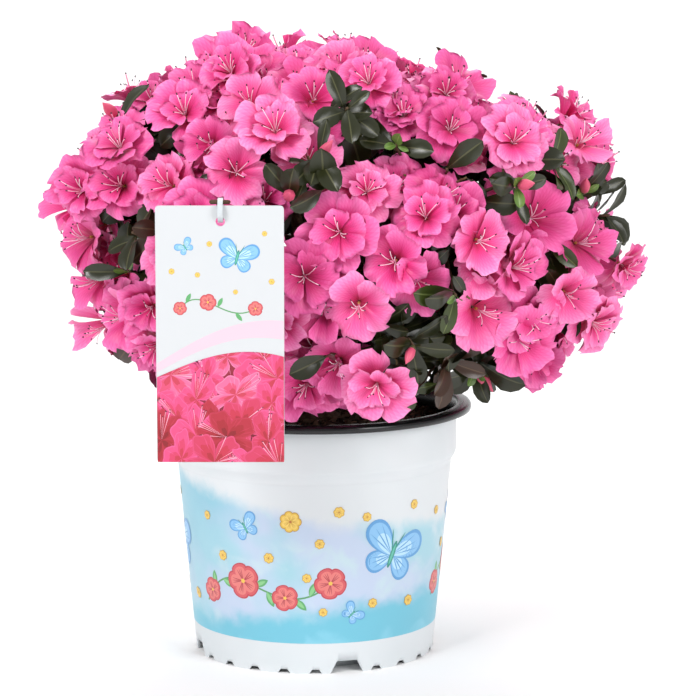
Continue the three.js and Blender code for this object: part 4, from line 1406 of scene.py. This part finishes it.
def buildTie():
    pile = Pile()
    steps = tie["steps"]
    centre, half = (tieLow + tieHigh) / 2, (tieHigh - tieLow) / 2
    turn = np.linspace(0, fullTurn, steps + 1)[:-1]
    profile = []
    for inset, aside in ((0, -1), (0, 1), (tie["thick"], 1), (tie["thick"], -1)):
        y = centre[1] + np.cos(turn) * (half[1] - inset)
        z = centre[2] + np.sin(turn) * (half[2] - inset)
        profile.append(np.stack([np.full(steps, centre[0] + aside * half[0]), y, z], 1))
    a, last = np.arange(steps), 3 * steps
    b = (a + 1) % steps
    side = [np.stack([a + last, b + last, b], 1), np.stack([a + last, b, a], 1)]
    pile.add(np.concatenate(profile), np.concatenate([gridTriangles(4, steps, around=True), *side]))
    makePiece("tagTie", pile, [tieNylon], ["tag_tie"], smooth=False)


def buildSpur():
    pile = Pile()
    start, length, radius = (tieLow + tieHigh) / 2 + tie["spurPlace"], tie["spurLength"], tie["spurRadius"]
    path = [start, start + [length / 2, 0, 0], start + [length, 0, 0]]
    pile.add(*tube(path, [radius, radius, 1.0], 8))
    back = crownPoint(direction(-24, 10), 0.75)
    path = bezier([back, start + [-4, 14, 0], start + [0.8, 0, 0]], 8)
    pile.add(*tube(path, np.linspace(1.4, radius, 8), 7))
    makePiece("tagSpur", pile, twigBark[:1])


buildTie()
buildSpur()


# studio: pale floor and sweep, soft light from the upper left and the front; lengths in metres

studio = {
    "front": -6,
    "half": 6,
    # where the floor turns up, how round, and how far
    "sweep": (1.4, 0.8, 82),
    "world": 0.5,
    "lamps": [
        {"name": "keyBox", "at": (-1.2, -1.6, 1.6), "aim": (0, 0, 0.22), "size": 0.8, "power": 34},
        {"name": "fillBox", "at": (1.4, -1.5, 1.1), "aim": (0, 0, 0.22), "size": 1.0, "power": 22},
        {"name": "backBox", "at": (0.2, 1.1, 1.6), "aim": (0, 0, 0.22), "size": 1.0, "power": 14},
        {"name": "sweepBox", "at": (0, 0.6, 1.9), "aim": (0, 2.2, 0.3), "size": 1.6, "power": 13},
    ],
    "camera": (0.0214, -1.912, 0.4808),
    "pitch": 81.45,
    "lens": 157.1,
    "sensor": 36,
}


def buildFloor():
    paper = makeMaterial("studioPaper", "#f6f6f6", 0.9)  # rolled background paper, matt white
    start, radius, top = studio["sweep"]
    turns = np.linspace(0, math.radians(top), 14)
    run = [(studio["front"], 0)]
    run += [(start + radius * math.sin(turn), radius - radius * math.cos(turn)) for turn in turns]
    points = [(x, y, z) for y, z in run for x in (-studio["half"], studio["half"])]
    faces = [(2 * n, 2 * n + 1, 2 * n + 3, 2 * n + 2) for n in range(len(run) - 1)]
    mesh = bpy.data.meshes.new("studioFloor")
    mesh.from_pydata(points, [], faces)
    for face in mesh.polygons:
        face.use_smooth = True
    mesh.materials.append(paper)
    floor = addObject("studioFloor", mesh)


def buildLight():
    world = bpy.data.worlds.new("studioWorld")
    bpy.context.scene.world = world
    world.use_nodes = True
    background = world.node_tree.nodes["Background"]
    background.inputs["Color"].default_value = linear("#ffffff")
    background.inputs["Strength"].default_value = studio["world"]
    for lamp in studio["lamps"]:
        data = bpy.data.lights.new(lamp["name"], "AREA")
        data.size, data.energy = lamp["size"], lamp["power"]
        light = addObject(lamp["name"], data)
        light.location = lamp["at"]
        light.rotation_euler = (Vector(lamp["aim"]) - light.location).to_track_quat("-Z", "Y").to_euler()
    bpy.context.scene.view_settings.view_transform = "Standard"


def buildCamera():
    data = bpy.data.cameras.new("camera")
    data.sensor_width, data.lens = studio["sensor"], studio["lens"]
    camera = addObject("camera", data)
    camera.location = studio["camera"]
    camera.rotation_euler = (math.radians(studio["pitch"]), 0, 0)
    bpy.context.scene.camera = camera


buildFloor()
buildLight()
buildCamera()
print("studio, lamps and camera set")
